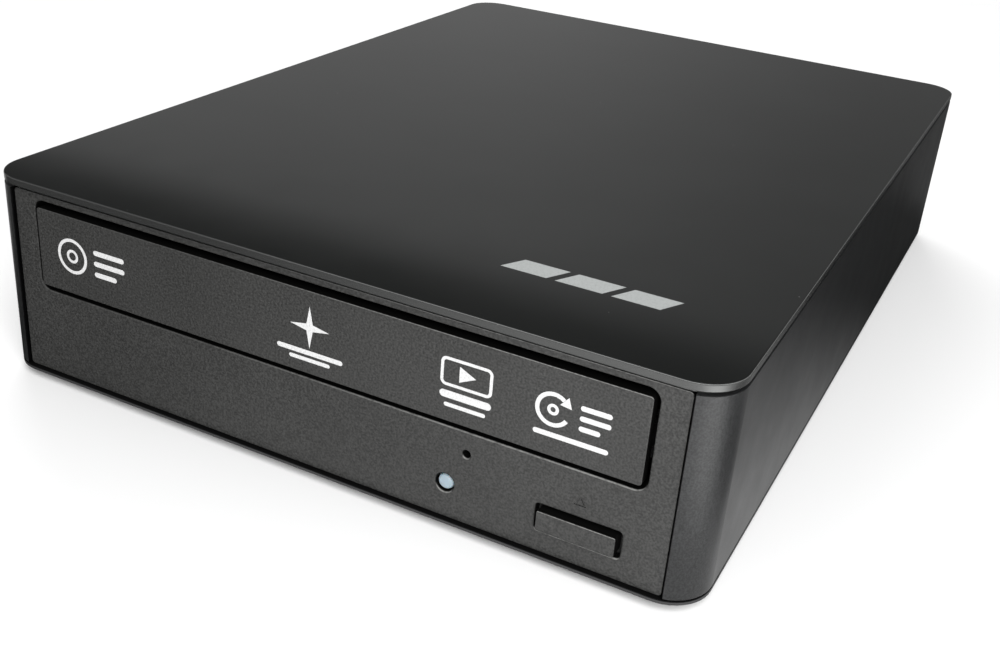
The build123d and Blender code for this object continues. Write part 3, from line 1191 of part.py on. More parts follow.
# ---------------------------------------------------------------- lift frame
EAR_X = (31.0, LIFT_X - LIFT_WALL)
EAR_YS = (-53.0, 47.0)
EAR_HALF = 4.0
DAMPER_X = 35.0
EAR_Z = (18.0, 21.0)
DAMPER_SCREW_R = 1.3
LIFT_REAR_WALL = 2.5
damper_places = [(side * DAMPER_X, y) for side in (-1, 1) for y in EAR_YS]

with BuildPart() as lift_frame:
    block((-LIFT_X, LIFT_X), LIFT_Y, LIFT_Z)
    lift_in_x = LIFT_X - LIFT_WALL
    block((-lift_in_x, lift_in_x), (LIFT_Y[0] + LIFT_WALL, LIFT_Y[1] - LIFT_REAR_WALL), LIFT_Z, Mode.SUBTRACT)
    for ear_y in EAR_YS:
        both_sides(EAR_X, (ear_y - EAR_HALF, ear_y + EAR_HALF + 0.5), EAR_Z)
    with Locations((0, *PIVOT)):
        rod_along("X", TRUNNION_R, (LIFT_X - PAST, BEARING_X[1]))
        rod_along("X", TRUNNION_R, (-BEARING_X[1], -LIFT_X + PAST))
    with Locations((-CAM_PIN_X, 0, CAM_PIN_Z), (CAM_PIN_X, 0, CAM_PIN_Z)):
        rod_along("Y", CAM_PIN_R, (CAM_Y[0], LIFT_Y[0] + PAST))
    with Locations(*[(x, y, 0) for x, y in damper_places]):
        post(DAMPER_SCREW_R + FIT, (EAR_Z[0] - PAST, EAR_Z[1] + PAST), Mode.SUBTRACT)
lift_frame.part.label = "lift_frame"
export_step(lift_frame.part, "parts/lift_frame.step")

# ---------------------------------------------------------------- mech deck and its dampers
PLATE_Z = (24.0, 25.2)
PLATE_X = 39.0
PLATE_Y = (-56.8, 51.0)
DAMPER_R = 3.6
DAMPER_NECK_R = 2.4
DAMPER_TOP = 27.0
DAMPER_SCREW_HEAD = (3.2, 1.2)
WINDOW_X = 29.0
WINDOW_Y = (-26.5, 36.0)
SCREW_X = -33.0
ROD_X = 24.0
ROD_Z = 22.3
SLED_MOTOR_R = 4.8
SLED_MOTOR_Y = (26.0, 38.0)

with BuildPart() as mech_deck:
    block((-PLATE_X, PLATE_X), PLATE_Y, PLATE_Z)
    # window for the pickup, and a bay for the sled motor
    block((-WINDOW_X, WINDOW_X), WINDOW_Y, PLATE_Z, Mode.SUBTRACT)
    motor_bay_y = (SLED_MOTOR_Y[0] - GAP, SLED_MOTOR_Y[1] + 4 * GAP)
    block((-PLATE_X - PAST, -WINDOW_X + PAST), motor_bay_y, PLATE_Z, Mode.SUBTRACT)
    with Locations(*[(x, y, 0) for x, y in damper_places]):
        post(DAMPER_NECK_R + FIT, (PLATE_Z[0] - PAST, PLATE_Z[1] + PAST), Mode.SUBTRACT)
mech_deck.part.label = "mech_deck"
export_step(mech_deck.part, "parts/mech_deck.step")

with BuildPart() as deck_dampers:
    with Locations(*[(x, y, 0) for x, y in damper_places]):
        post(DAMPER_R, (EAR_Z[1], PLATE_Z[0]))
        post(DAMPER_NECK_R, PLATE_Z)
        post(DAMPER_R, (PLATE_Z[1], DAMPER_TOP))
        post(DAMPER_SCREW_R + FIT, (EAR_Z[1] - PAST, DAMPER_TOP + PAST), Mode.SUBTRACT)
deck_dampers.part.label = "deck_dampers"
export_step(deck_dampers.part, "parts/deck_dampers.step")

with BuildPart() as damper_screws:
    with Locations(*[(x, y, DAMPER_TOP) for x, y in damper_places]):
        pan_screw(DAMPER_SCREW_R, DAMPER_TOP - EAR_Z[0], *DAMPER_SCREW_HEAD)
damper_screws.part.label = "damper_screws"
export_step(damper_screws.part, "parts/damper_screws.step")

# ---------------------------------------------------------------- spindle
SPINDLE_MOTOR_R = 13.0
SPINDLE_MOTOR_Z = (PLATE_Z[1], 29.6)
SPINDLE_SHAFT_R = 1.5
TURNTABLE_R = 15.0
TURNTABLE_Z = (29.9, 32.4)
PAD_TOP = 33.2
HUB_R = 7.4
HUB_TOP = 35.0
HUB_SHOULDER_Z = PAD_TOP + 0.4
HUB_TAPER = 2.2
SPINDLE_BORE_Z0 = SPINDLE_MOTOR_Z[0] + 0.5
SPINDLE_SHAFT_Z0 = SPINDLE_MOTOR_Z[0] + 1.0
PAD_INSET_R = 0.6
PAD_IN_R = HUB_R + 1.8

with BuildPart() as spindle_motor:
    with Locations((0, DISC_Y, 0)):
        post(SPINDLE_MOTOR_R, SPINDLE_MOTOR_Z)
        post(SPINDLE_SHAFT_R + SHAFT_RUN, (SPINDLE_BORE_Z0, SPINDLE_MOTOR_Z[1] + PAST), Mode.SUBTRACT)
spindle_motor.part.label = "spindle_motor"
export_step(spindle_motor.part, "parts/spindle_motor.step")

with BuildPart() as turntable:
    with BuildSketch(Plane((0, DISC_Y, 0), x_dir=(1, 0, 0), z_dir=(0, -1, 0))):
        with BuildLine():
            Polyline(
                (0, SPINDLE_SHAFT_Z0),
                (SPINDLE_SHAFT_R, SPINDLE_SHAFT_Z0),
                (SPINDLE_SHAFT_R, TURNTABLE_Z[0]),
                (TURNTABLE_R, TURNTABLE_Z[0]),
                (TURNTABLE_R, TURNTABLE_Z[1]),
                (HUB_R, TURNTABLE_Z[1]),
                (HUB_R, HUB_SHOULDER_Z),
                (HUB_R - HUB_TAPER, HUB_TOP),
                (0, HUB_TOP),
                close=True,
            )
        make_face()
    revolve(axis=Axis((0, DISC_Y, 0), (0, 0, 1)))
turntable.part.label = "turntable"
export_step(turntable.part, "parts/turntable.step")

with BuildPart() as turntable_pad:
    with BuildSketch(Plane((0, DISC_Y, TURNTABLE_Z[1]))):
        Circle(TURNTABLE_R - PAD_INSET_R)
        Circle(PAD_IN_R, mode=Mode.SUBTRACT)
    extrude(amount=PAD_TOP - TURNTABLE_Z[1])
turntable_pad.part.label = "turntable_pad"
export_step(turntable_pad.part, "parts/turntable_pad.step")

# ---------------------------------------------------------------- disc clamp
PUCK_R = 15.0
PUCK_Z = (34.6, 36.1)
NECK_R = 11.0
CAP_Z = (40.2, 41.4)
CAP_R = 14.5
MAGNET_R = 7.0
MAGNET_Z = (37.2, 39.6)
HUB_POCKET_R = HUB_R + 1.1
HUB_POCKET_H = 2.0
CAP_EDGE_R = 0.5

with BuildPart() as clamp_puck:
    with Locations((0, DISC_Y, 0)):
        post(PUCK_R, PUCK_Z)
        post(NECK_R, (PUCK_Z[0], CAP_Z[0]))
        post(HUB_POCKET_R, (PUCK_Z[0] - PAST, PUCK_Z[0] + HUB_POCKET_H), Mode.SUBTRACT)
        post(MAGNET_R + FIT, (MAGNET_Z[0], CAP_Z[0] + PAST), Mode.SUBTRACT)
clamp_puck.part.label = "clamp_puck"
export_step(clamp_puck.part, "parts/clamp_puck.step")

with BuildPart() as clamp_magnet:
    with Locations((0, DISC_Y, 0)):
        post(MAGNET_R, MAGNET_Z)
clamp_magnet.part.label = "clamp_magnet"
export_step(clamp_magnet.part, "parts/clamp_magnet.step")

with BuildPart() as clamp_cap:
    with Locations((0, DISC_Y, 0)):
        post(CAP_R, CAP_Z)
        post(MAGNET_R - 2 * GAP, (MAGNET_Z[1], CAP_Z[0]))
    fillet(clamp_cap.faces().sort_by(Axis.Z)[-1].edges(), CAP_EDGE_R)
clamp_cap.part.label = "clamp_cap"
export_step(clamp_cap.part, "parts/clamp_cap.step")

# ---------------------------------------------------------------- pickup sled
ROD_R = 1.5
ROD_Y = (-30.5, 40.5)
SCREW_THREAD_R = 1.5
SCREW_JOURNAL_R = 1.0
HOLDER_Z = (20.0, PLATE_Z[0])
HOLDER_YS = ((-31.0, -26.8), (36.3, 41.0))
SLED_Y = (-25.5, -4.0)
LENS_Y = -17.0
SLEEVE_R = 3.0
SLED_Z = (20.0, 26.4)
NUT_Y = (-22.0, -12.0)
NUT_HALF = 2.4
ACTUATOR_X = 11.0
ACTUATOR_Y = (LENS_Y - 7.5, LENS_Y + 8.0)
ACTUATOR_Z = (26.4, 29.6)
LENS_BARREL_R = 2.3
LENS_DOME_R = 1.6
LENS_WELL_Z0 = ACTUATOR_Z[0] - 2.0
LENS_BARREL_TOP = ACTUATOR_Z[1] - 0.6
HOLDER_REACH_IN = 3.0
HOLDER_REACH_OUT = 2.0
SLED_MOTOR_FLANGE = 1.0
SCREW_END_GAP = 0.3

screw_end_y = SLED_MOTOR_Y[0] + 3.0

with BuildPart() as rod_holders:
    for holder_y in HOLDER_YS:
        both_sides((ROD_X - HOLDER_REACH_IN, ROD_X + HOLDER_REACH_OUT), holder_y, HOLDER_Z)
    block((SCREW_X - HOLDER_REACH_IN, -ROD_X), HOLDER_YS[0], HOLDER_Z)
    with Locations((-ROD_X, 0, ROD_Z), (ROD_X, 0, ROD_Z)):
        rod_along("Y", ROD_R + FIT, ROD_Y, Mode.SUBTRACT)
    with Locations((SCREW_X, 0, ROD_Z)):
        rod_along("Y", SCREW_JOURNAL_R + SHAFT_RUN, HOLDER_YS[0], Mode.SUBTRACT)
rod_holders.part.label = "rod_holders"
export_step(rod_holders.part, "parts/rod_holders.step")

with BuildPart() as guide_rods:
    with Locations((-ROD_X, 0, ROD_Z), (ROD_X, 0, ROD_Z)):
        rod_along("Y", ROD_R, ROD_Y)
guide_rods.part.label = "guide_rods"
export_step(guide_rods.part, "parts/guide_rods.step")

with BuildPart() as sled_motor:
    with Locations((SCREW_X, 0, ROD_Z)):
        rod_along("Y", SLED_MOTOR_R, SLED_MOTOR_Y)
    flange_x = (SCREW_X - SLED_MOTOR_R, SCREW_X + SLED_MOTOR_R)
    flange_y = (SLED_MOTOR_Y[0] - SLED_MOTOR_FLANGE, SLED_MOTOR_Y[0])
    block(flange_x, flange_y, (ROD_Z - SLED_MOTOR_R, PLATE_Z[0]))
    with Locations((SCREW_X, 0, ROD_Z)):
        rod_along("Y", SCREW_JOURNAL_R + SHAFT_RUN, (flange_y[0] - PAST, screw_end_y + PAST), Mode.SUBTRACT)
sled_motor.part.label = "sled_motor"
export_step(sled_motor.part, "parts/sled_motor.step")

with BuildPart() as lead_screw:
    with Locations((SCREW_X, 0, ROD_Z)):
        rod_along("Y", SCREW_JOURNAL_R, (HOLDER_YS[0][0] + SCREW_END_GAP, screw_end_y))
        rod_along("Y", SCREW_THREAD_R, (HOLDER_YS[0][1] + SCREW_END_GAP, flange_y[0] - SCREW_END_GAP))
lead_screw.part.label = "lead_screw"
export_step(lead_screw.part, "parts/lead_screw.step")

with BuildPart() as pickup_body:
    sled_x = ROD_X - SLEEVE_R + PAST
    block((-sled_x, sled_x), SLED_Y, SLED_Z)
    block((SCREW_X - NUT_HALF, -ROD_X), NUT_Y, (ROD_Z - NUT_HALF, PLATE_Z[0] - 2 * GAP))
    with Locations((-ROD_X, 0, ROD_Z), (ROD_X, 0, ROD_Z)):
        rod_along("Y", SLEEVE_R, SLED_Y)
        rod_along("Y", ROD_R + RUN, (SLED_Y[0] - PAST, SLED_Y[1] + PAST), Mode.SUBTRACT)
    with Locations((SCREW_X, 0, ROD_Z)):
        rod_along("Y", SCREW_THREAD_R + RUN, (NUT_Y[0] - PAST, NUT_Y[1] + PAST), Mode.SUBTRACT)
    block((-ACTUATOR_X, ACTUATOR_X), ACTUATOR_Y, ACTUATOR_Z)
    with Locations((0, LENS_Y, 0)):
        post(LENS_BARREL_R + GAP, (LENS_WELL_Z0, ACTUATOR_Z[1] + PAST), Mode.SUBTRACT)
pickup_body.part.label = "pickup_body"
export_step(pickup_body.part, "parts/pickup_body.step")

with BuildPart() as pickup_lens:
    with Locations((0, LENS_Y, 0)):
        post(LENS_BARREL_R, (LENS_WELL_Z0, LENS_BARREL_TOP))
    with Locations((0, LENS_Y, LENS_BARREL_TOP - 0.5)):
        Sphere(LENS_DOME_R)
pickup_lens.part.label = "pickup_lens"
export_step(pickup_lens.part, "parts/pickup_lens.step")
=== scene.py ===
"""Looks of the external optical drive: materials, printed marks, light and camera.

Metres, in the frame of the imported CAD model. Every CAD node keeps its shape and gets a
procedural material here; thin printed marks are the only added pieces.
"""

import json
from math import cos, radians, sin

import bmesh
import bpy
from mathutils import Matrix, Vector


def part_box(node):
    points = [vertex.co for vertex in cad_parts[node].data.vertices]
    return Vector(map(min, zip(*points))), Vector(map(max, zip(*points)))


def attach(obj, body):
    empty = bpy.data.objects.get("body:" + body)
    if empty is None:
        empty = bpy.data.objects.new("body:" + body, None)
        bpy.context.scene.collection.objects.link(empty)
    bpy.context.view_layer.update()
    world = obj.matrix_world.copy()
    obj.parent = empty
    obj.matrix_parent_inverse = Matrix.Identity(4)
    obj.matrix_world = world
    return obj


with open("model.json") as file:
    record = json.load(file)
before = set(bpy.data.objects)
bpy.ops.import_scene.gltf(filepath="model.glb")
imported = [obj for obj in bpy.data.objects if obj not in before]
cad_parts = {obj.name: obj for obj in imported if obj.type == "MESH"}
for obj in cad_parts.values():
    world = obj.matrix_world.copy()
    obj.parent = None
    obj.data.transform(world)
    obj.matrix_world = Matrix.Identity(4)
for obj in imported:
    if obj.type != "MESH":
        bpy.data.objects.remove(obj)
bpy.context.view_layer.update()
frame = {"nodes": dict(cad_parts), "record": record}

MM = 0.001

# colours, as linear red, green and blue
LID_BLACK = (0.0095, 0.0101, 0.0098)
EDGE_GREY = (0.125, 0.127, 0.125)
CASE_GREY = (0.0165, 0.0170, 0.0175)
BEZEL_GREY = (0.0325, 0.0325, 0.0315)
BASE_GREY = (0.034, 0.034, 0.035)
DUST_GREY = (0.5, 0.5, 0.49)
WHITE_INK = (0.60, 0.60, 0.60)
GREY_INK = (0.36, 0.375, 0.37)

# grain: size and depth in millimetres, and the kind of pattern
PEBBLE = [(0.62, 0.11, "cells"), (0.24, 0.035, "noise")]
SPARK = [(0.28, 0.012, "noise"), (0.60, 0.008, "cells")]

# where the painted shadow of the seam over the base plate's edge ends, and how thick the print is
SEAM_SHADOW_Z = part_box("bottom_cover")[0].z + 0.58 * MM
INK_THICKNESS = 0.012 * MM

# light: watts of the lamps, and levels of the surroundings from 0, black, to 1, white
KEY_WATTS = 26.0
REAR_WATTS = 13.0
FRONT_WATTS = 0.62
BACKDROP_WHITE = 0.95
ROOM_LIGHT = 0.46
ROOM_LEVEL = 0.03
CEILING_LEVEL = 0.32
CEILING_FADE = (radians(36), radians(75))
WALL_LEVEL = (0.34, 0.165)
WALL_TURN = (radians(-28), radians(-5))
WALL_TOP = radians(27.2)
WALL_FADE = radians(1.3)

# the floor: its side in metres, and how bright reflections find it
FLOOR_SIZE = 6.0
FLOOR_GLOSS_LEVEL = 0.62
FAR_GLOSS_LEVEL = 0.45
CARD_GLOW = 2.2

# places on the floor, in millimetres
FLOOR_FADE = (450, 1300)
# a painted shadow on the floor, seen only in reflections
SHADOW_PATCH = (136.0, -72.0, 0.0)
GLOW_CARD = (140.0, -148.0, 0.0)

# the photographer's camera, as fitted to the outlines of the case in the photograph
CAMERA_AZIMUTH = radians(25.3365)
CAMERA_ELEVATION = radians(26.3398)
CAMERA_ROLL = radians(4.6599)
CAMERA_DISTANCE = 332.405 * MM
CAMERA_ASIDE = (-13.0073 * MM, -10.1014 * MM)
SENSOR_MM = 36.0
LENS_MM = 44.3664
LENS_SHIFT = (0.005784, -0.015082)


# ---------------------------------------------------------------- node material builder
class Nodes:
    """A node tree built step by step."""

    def __init__(self, tree):
        self.tree = tree

    def link(self, source, target):
        self.tree.links.new(source, target)

    def feed(self, value, socket):
        """Links a socket, or sets a plain value."""
        if isinstance(value, bpy.types.NodeSocket):
            self.link(value, socket)
        else:
            socket.default_value = value

    def math(self, operation, first, second=0.0, clamp=False):
        node = self.tree.nodes.new("ShaderNodeMath")
        node.operation = operation
        node.use_clamp = clamp
        self.feed(first, node.inputs[0])
        self.feed(second, node.inputs[1])
        return node.outputs[0]

    def math_vector(self, operation, first, second):
        node = self.tree.nodes.new("ShaderNodeVectorMath")
        node.operation = operation
        self.feed(first, node.inputs[0])
        self.feed(second, node.inputs[1])
        return node.outputs["Value" if operation in ("DOT_PRODUCT", "DISTANCE") else "Vector"]

    def split(self, vector):
        node = self.tree.nodes.new("ShaderNodeSeparateXYZ")
        self.link(vector, node.inputs[0])
        return node.outputs

    def remap(self, value, low, high, to_low=0.0, to_high=1.0):
        node = self.tree.nodes.new("ShaderNodeMapRange")
        node.interpolation_type = "SMOOTHSTEP"
        self.link(value, node.inputs["Value"])
        limits = {"From Min": low, "From Max": high, "To Min": to_low, "To Max": to_high}
        for name, number in limits.items():
            self.feed(number, node.inputs[name])
        return node.outputs["Result"]

    def mix(self, factor, first, second, blend="MIX"):
        node = self.tree.nodes.new("ShaderNodeMix")
        node.data_type = "RGBA"
        node.blend_type = blend
        self.feed(factor, node.inputs["Factor"])
        self.feed(first, node.inputs["A"])
        self.feed(second, node.inputs["B"])
        return node.outputs["Result"]


class Shader(Nodes):
    """A material's nodes, with patterns in millimetres of object space."""

    def __init__(self, name):
        self.material = bpy.data.materials.new(name)
        self.material.use_nodes = True
        super().__init__(self.material.node_tree)
        self.bsdf = self.tree.nodes["Principled BSDF"]
        coordinates = self.tree.nodes.new("ShaderNodeTexCoord")
        self.mm = self.math_vector("MULTIPLY", coordinates.outputs["Object"], (1 / MM,) * 3)
        self.normal = None

    def geometry(self, name):
        return self.tree.nodes.new("ShaderNodeNewGeometry").outputs[name]

    def noise(self, size, detail=3.0, stretch=(1, 1, 1), seed=0.0):
        """Noise from 0 to 1 whose features are about size millimetres across."""
        place = self.math_vector("MULTIPLY_ADD", self.mm, stretch)
        place.node.inputs[2].default_value = (seed * 17.3, seed * 5.1, seed * 9.7)
        node = self.tree.nodes.new("ShaderNodeTexNoise")
        node.inputs["Scale"].default_value = 1 / size
        node.inputs["Detail"].default_value = detail
        self.link(place, node.inputs["Vector"])
        return node.outputs["Fac"]

    def cells(self, size, feature="SMOOTH_F1"):
        """Distance from the middle of cells about size millimetres across."""
        node = self.tree.nodes.new("ShaderNodeTexVoronoi")
        node.feature = feature
        node.inputs["Scale"].default_value = 1 / size
        self.link(self.mm, node.inputs["Vector"])
        return node.outputs["Distance"]

    def round_edges(self, radius_mm):
        """Shades edges as if they had a small radius, and returns a mask of where they are."""
        bevel = self.tree.nodes.new("ShaderNodeBevel")
        bevel.samples = 4
        bevel.inputs["Radius"].default_value = radius_mm * MM
        self.normal = bevel.outputs["Normal"]
        facing = self.math_vector("DOT_PRODUCT", self.normal, self.geometry("Normal"))
        return self.remap(facing, 0.99, 0.80)

    def rightward(self, least):
        """Grows from least on the left of the case to 1 on the right, where the light comes from."""
        return self.remap(self.split(self.geometry("Position"))[0], -45 * MM, 55 * MM, least, 1.0)

    def bump(self, height, depth_mm):
        """Adds a relief, on top of any rounded edges and earlier relief."""
        node = self.tree.nodes.new("ShaderNodeBump")
        node.inputs["Strength"].default_value = 1.0
        node.inputs["Distance"].default_value = depth_mm * MM
        self.link(height, node.inputs["Height"])
        if self.normal is not None:
            self.link(self.normal, node.inputs["Normal"])
        self.normal = node.outputs["Normal"]

    def relief(self, grain, mask=None):
        """Adds each pattern of a grain, only where the mask is 1 if there is one."""
        for size, depth, kind in grain:
            height = self.cells(size) if kind == "cells" else self.noise(size, 2.0, seed=4)
            if mask is not None:
                height = self.math("MULTIPLY", height, mask)
            self.bump(height, depth)

    def finish(self, colour, roughness, **inputs):
        """Sets colour, roughness and any further inputs, named in small letters with _ for a space."""
        self.feed(colour, self.bsdf.inputs["Base Color"])
        self.feed(roughness, self.bsdf.inputs["Roughness"])
        if self.normal is not None:
            self.link(self.normal, self.bsdf.inputs["Normal"])
        for name, value in inputs.items():
            self.feed(value, self.bsdf.inputs[name.replace("_", " ").title().replace("Ior", "IOR")])
        return self.material


def rgba(colour, scale=1.0):
    return tuple(channel * scale for channel in colour) + (1.0,)


def surface(name, colour, roughness, grain, mottle=0.12, wear=0.5, edge_mm=0.12, spots=0.0, painted_glint_speckle=0.0,
            lit=None, **inputs):
    """The common build-up: mottled colour, painted glint specks if asked, uneven roughness, grain, rounded
    and slightly worn edges.

    lit is a function that gives a mask of the faces that keep their colour; the others are painted nearly
    black as shade.
    """
    shader = Shader(name)
    broad = shader.noise(26.0, seed=1)
    fine = shader.noise(1.7, seed=2)
    tone = shader.math("ADD", shader.math("MULTIPLY", broad, 0.6), shader.math("MULTIPLY", fine, 0.4))
    tone = shader.remap(tone, 0.3, 0.7)
    body = shader.mix(tone, rgba(colour, 1 - mottle), rgba(colour, 1 + mottle))
    # painted glints: fine specks lighten and darken the colour in place of glints off the grain
    if painted_glint_speckle:
        painted_glints = shader.remap(shader.noise(0.36, 2.0, seed=12), 0.28, 0.72, 1 - painted_glint_speckle, 1 + painted_glint_speckle)
        body = shader.mix(1.0, body, painted_glints, "MULTIPLY")
    edge = shader.round_edges(edge_mm)
    scuffed = shader.math("MULTIPLY", edge, shader.remap(shader.noise(0.9, seed=3), 0.35, 0.7))
    worn = tuple(min(1.0, channel * 1.5 + 0.03) for channel in colour)
    body = shader.mix(shader.math("MULTIPLY", scuffed, wear), body, rgba(worn))
    if spots:
        dust = shader.remap(shader.cells(7.0, "F1"), 0.022, 0.014)
        body = shader.mix(shader.math("MULTIPLY", dust, spots), body, rgba(DUST_GREY))
    # painted shade: faces outside the lit mask get a tenth of the colour and less shine
    if lit:
        mask = lit(shader)
        body = shader.mix(mask, rgba(colour, 0.1), body)
        inputs["specular_ior_level"] = shader.remap(mask, 0.0, 1.0, 0.08, 0.5)
    shader.relief(grain)
    uneven = shader.noise(9.0, seed=5)
    rough = shader.math("ADD", roughness - 0.06, shader.math("MULTIPLY", uneven, 0.12), clamp=True)
    rough = shader.math("SUBTRACT", rough, shader.math("MULTIPLY", scuffed, 0.15), clamp=True)
    return shader.finish(body, rough, **inputs)


def brushed(name, colour, roughness, along):
    """Sheet or turned metal with fine drawn lines along one axis."""
    shader = Shader(name)
    stretch = {"X": (0.02, 1, 1), "Y": (1, 0.02, 1), "Z": (1, 1, 0.02)}[along]
    lines = shader.noise(0.25, 4.0, stretch, seed=6)
    patches = shader.noise(12.0, seed=7)
    tone = shader.mix(shader.remap(patches, 0.3, 0.7), rgba(colour, 0.86), rgba(colour, 1.06))
    edge = shader.round_edges(0.1)
    tone = shader.mix(shader.math("MULTIPLY", edge, 0.5), tone, rgba(colour, 1.3))
    shader.bump(lines, 0.004)
    rough = shader.math("ADD", roughness - 0.08, shader.math("MULTIPLY", lines, 0.16), clamp=True)
    return shader.finish(tone, rough, metallic=1.0)


def unshaded_outer_walls(shader):
    """A mask of every face but those that look towards the middle of the case; those are painted nearly
    black as shade.
    """
    place = shader.split(shader.geometry("Position"))
    facing = shader.split(shader.geometry("Normal"))
    return shader.remap(shader.math("MULTIPLY", place[0], facing[0]), -20 * MM, -5 * MM)


def below_seam_shadow(shader):
    """A mask of the lower half of the base plate's edge; above it the paint is painted nearly black as the
    seam's shadow.
    """
    height = shader.split(shader.geometry("Position"))[2]
    return shader.remap(height, SEAM_SHADOW_Z + 0.05 * MM, SEAM_SHADOW_Z - 0.05 * MM)


def front_moulding(name, colour):
    """Pebbled plastic whose front faces are textured; its side walls and gaps are smooth and painted nearly
    black as shade, its fine specks are painted glints, and its up-facing front edges carry a painted
    highlight.
    """
    shader = Shader(name)
    facing = shader.split(shader.geometry("Normal"))
    forward = shader.math("MULTIPLY", facing[1], -1.0)
    face = shader.math("MULTIPLY", shader.remap(forward, 0.25, 0.75), shader.remap(facing[2], -0.6, -0.15))
    patches = shader.remap(shader.noise(22.0, seed=1), 0.3, 0.7)
    body = shader.mix(patches, rgba(colour, 0.94), rgba(colour, 1.06))
    # painted glints: fine specks lighten and darken the colour in place of glints off the pebbled grain
    painted_glint_speckle = shader.remap(shader.noise(0.42, 2.0, seed=12), 0.28, 0.72, 0.62, 1.42)
    body = shader.mix(1.0, body, painted_glint_speckle, "MULTIPLY")
    dust = shader.remap(shader.cells(8.0, "F1"), 0.020, 0.012)
    body = shader.mix(shader.math("MULTIPLY", dust, 0.5), body, rgba(DUST_GREY))
    # the rounded edges are lighter: partly rubbed wear, partly a painted edge highlight
    edge = shader.round_edges(0.12)
    rubbed_and_highlit = shader.math("MULTIPLY", edge, shader.remap(shader.noise(1.1, seed=3), 0.25, 0.6, 0.2, 0.6))
    body = shader.mix(rubbed_and_highlit, body, rgba(colour, 2.0))
    # painted shade: every face but the front faces gets a tenth of the colour, as if the side walls and gaps
    # lay in shadow
    body = shader.mix(face, rgba(colour, 0.10), body)
    # painted highlight: edges facing up and forward are lightened, more on the right where the light comes
    # from
    painted_crest_highlight = shader.math("MULTIPLY", shader.remap(facing[2], 0.25, 0.65), shader.remap(forward, 0.15, 0.45))
    painted_crest_highlight = shader.math("MULTIPLY", painted_crest_highlight, shader.remap(shader.noise(0.8, seed=3), 0.3, 0.6, 0.45, 1.0))
    painted_crest_highlight = shader.math("MULTIPLY", painted_crest_highlight, shader.rightward(0.12))
    body = shader.mix(painted_crest_highlight, body, rgba(colour, 5.5))
    shader.relief(PEBBLE, face)
    rough = shader.remap(shader.noise(9.0, seed=5), 0.3, 0.7, 0.36, 0.46)
    # the painted shade also takes most of the shine off the side walls and gaps
    level = shader.remap(face, 0.0, 1.0, 0.12, 0.5)
    return shader.finish(body, rough, specular_ior_level=level)


def lid_paint():
    """Black satin paint on the lid's faces, with a bright band where its cut edge shows and a painted
    highlight along its top edge that grows towards the right.
    """
    shader = Shader("lid_paint")
    clouds = shader.remap(shader.noise(30.0, seed=1), 0.3, 0.7)
    paint = shader.mix(clouds, rgba(LID_BLACK, 0.92), rgba(LID_BLACK, 1.08))
    dust = shader.remap(shader.cells(9.0, "F1"), 0.018, 0.011)
    paint = shader.mix(shader.math("MULTIPLY", dust, 0.35), paint, (0.3, 0.3, 0.3, 1.0))
    upright = shader.split(shader.geometry("Normal"))[2]
    band = shader.remap(shader.math("ABSOLUTE", upright), 0.85, 0.55)
    drawn = shader.noise(0.2, 3.0, (1, 1, 6), seed=2)
    metal = shader.mix(drawn, rgba(EDGE_GREY, 0.85), rgba(EDGE_GREY, 1.1))
    # painted highlight: the band's upper rounding is lightened, growing towards the right where the light
    # comes from
    painted_crest_highlight = shader.math("MULTIPLY", shader.remap(upright, 0.30, 0.55), shader.rightward(0.0))
    metal = shader.mix(painted_crest_highlight, metal, rgba(EDGE_GREY, 3.0))
    edge = shader.round_edges(0.12)
    colour = shader.mix(band, paint, metal)
    colour = shader.mix(shader.math("MULTIPLY", edge, 0.25), colour, rgba(EDGE_GREY))
    shader.bump(shader.noise(0.14, 2.0, seed=4), 0.0002)
    uneven = shader.noise(14.0, seed=5)
    rough = shader.math("ADD", 0.06, shader.math("MULTIPLY", uneven, 0.05))
    rough = shader.math("ADD", rough, shader.math("MULTIPLY", band, 0.16))
    return shader.finish(colour, rough, metallic=shader.math("MULTIPLY", band, 0.8))


def circuit_board():
    """Green solder resist with faint tracks and a glossy coat."""
    shader = Shader("circuit_board")
    tracks = shader.tree.nodes.new("ShaderNodeTexBrick")
    tracks.inputs["Scale"].default_value = 0.35
    tracks.inputs["Mortar Size"].default_value = 0.03
    shader.link(shader.mm, tracks.inputs["Vector"])
    shader.round_edges(0.08)
    shader.bump(tracks.outputs["Fac"], 0.03)
    field = shader.mix(shader.noise(6.0, seed=8), (0.010, 0.085, 0.035, 1), (0.016, 0.13, 0.055, 1))
    colour = shader.mix(tracks.outputs["Fac"], field, (0.03, 0.20, 0.09, 1))
    return shader.finish(colour, 0.32)


def light_pipe():
    """Milky pale plastic of the activity light's lens."""
    shader = Shader("light_pipe")
    cloud = shader.noise(0.6, seed=9)
    colour = shader.mix(cloud, (0.33, 0.38, 0.42, 1), (0.41, 0.46, 0.50, 1))
    shader.round_edges(0.08)
    shader.bump(shader.noise(0.2, seed=10), 0.002)
    return shader.finish(colour, 0.28, transmission_weight=0.15, subsurface_weight=0.2)


def optic_glass():
    """Slightly hazy blue glass of the pickup's lens."""
    shader = Shader("optic_glass")
    tint = (0.55, 0.65, 0.85)
    haze = shader.noise(0.5, seed=11)
    colour = shader.mix(haze, rgba(tint, 0.92), rgba(tint))
    shader.round_edges(0.05)
    return shader.finish(colour, 0.06, transmission_weight=0.7, ior=1.5)


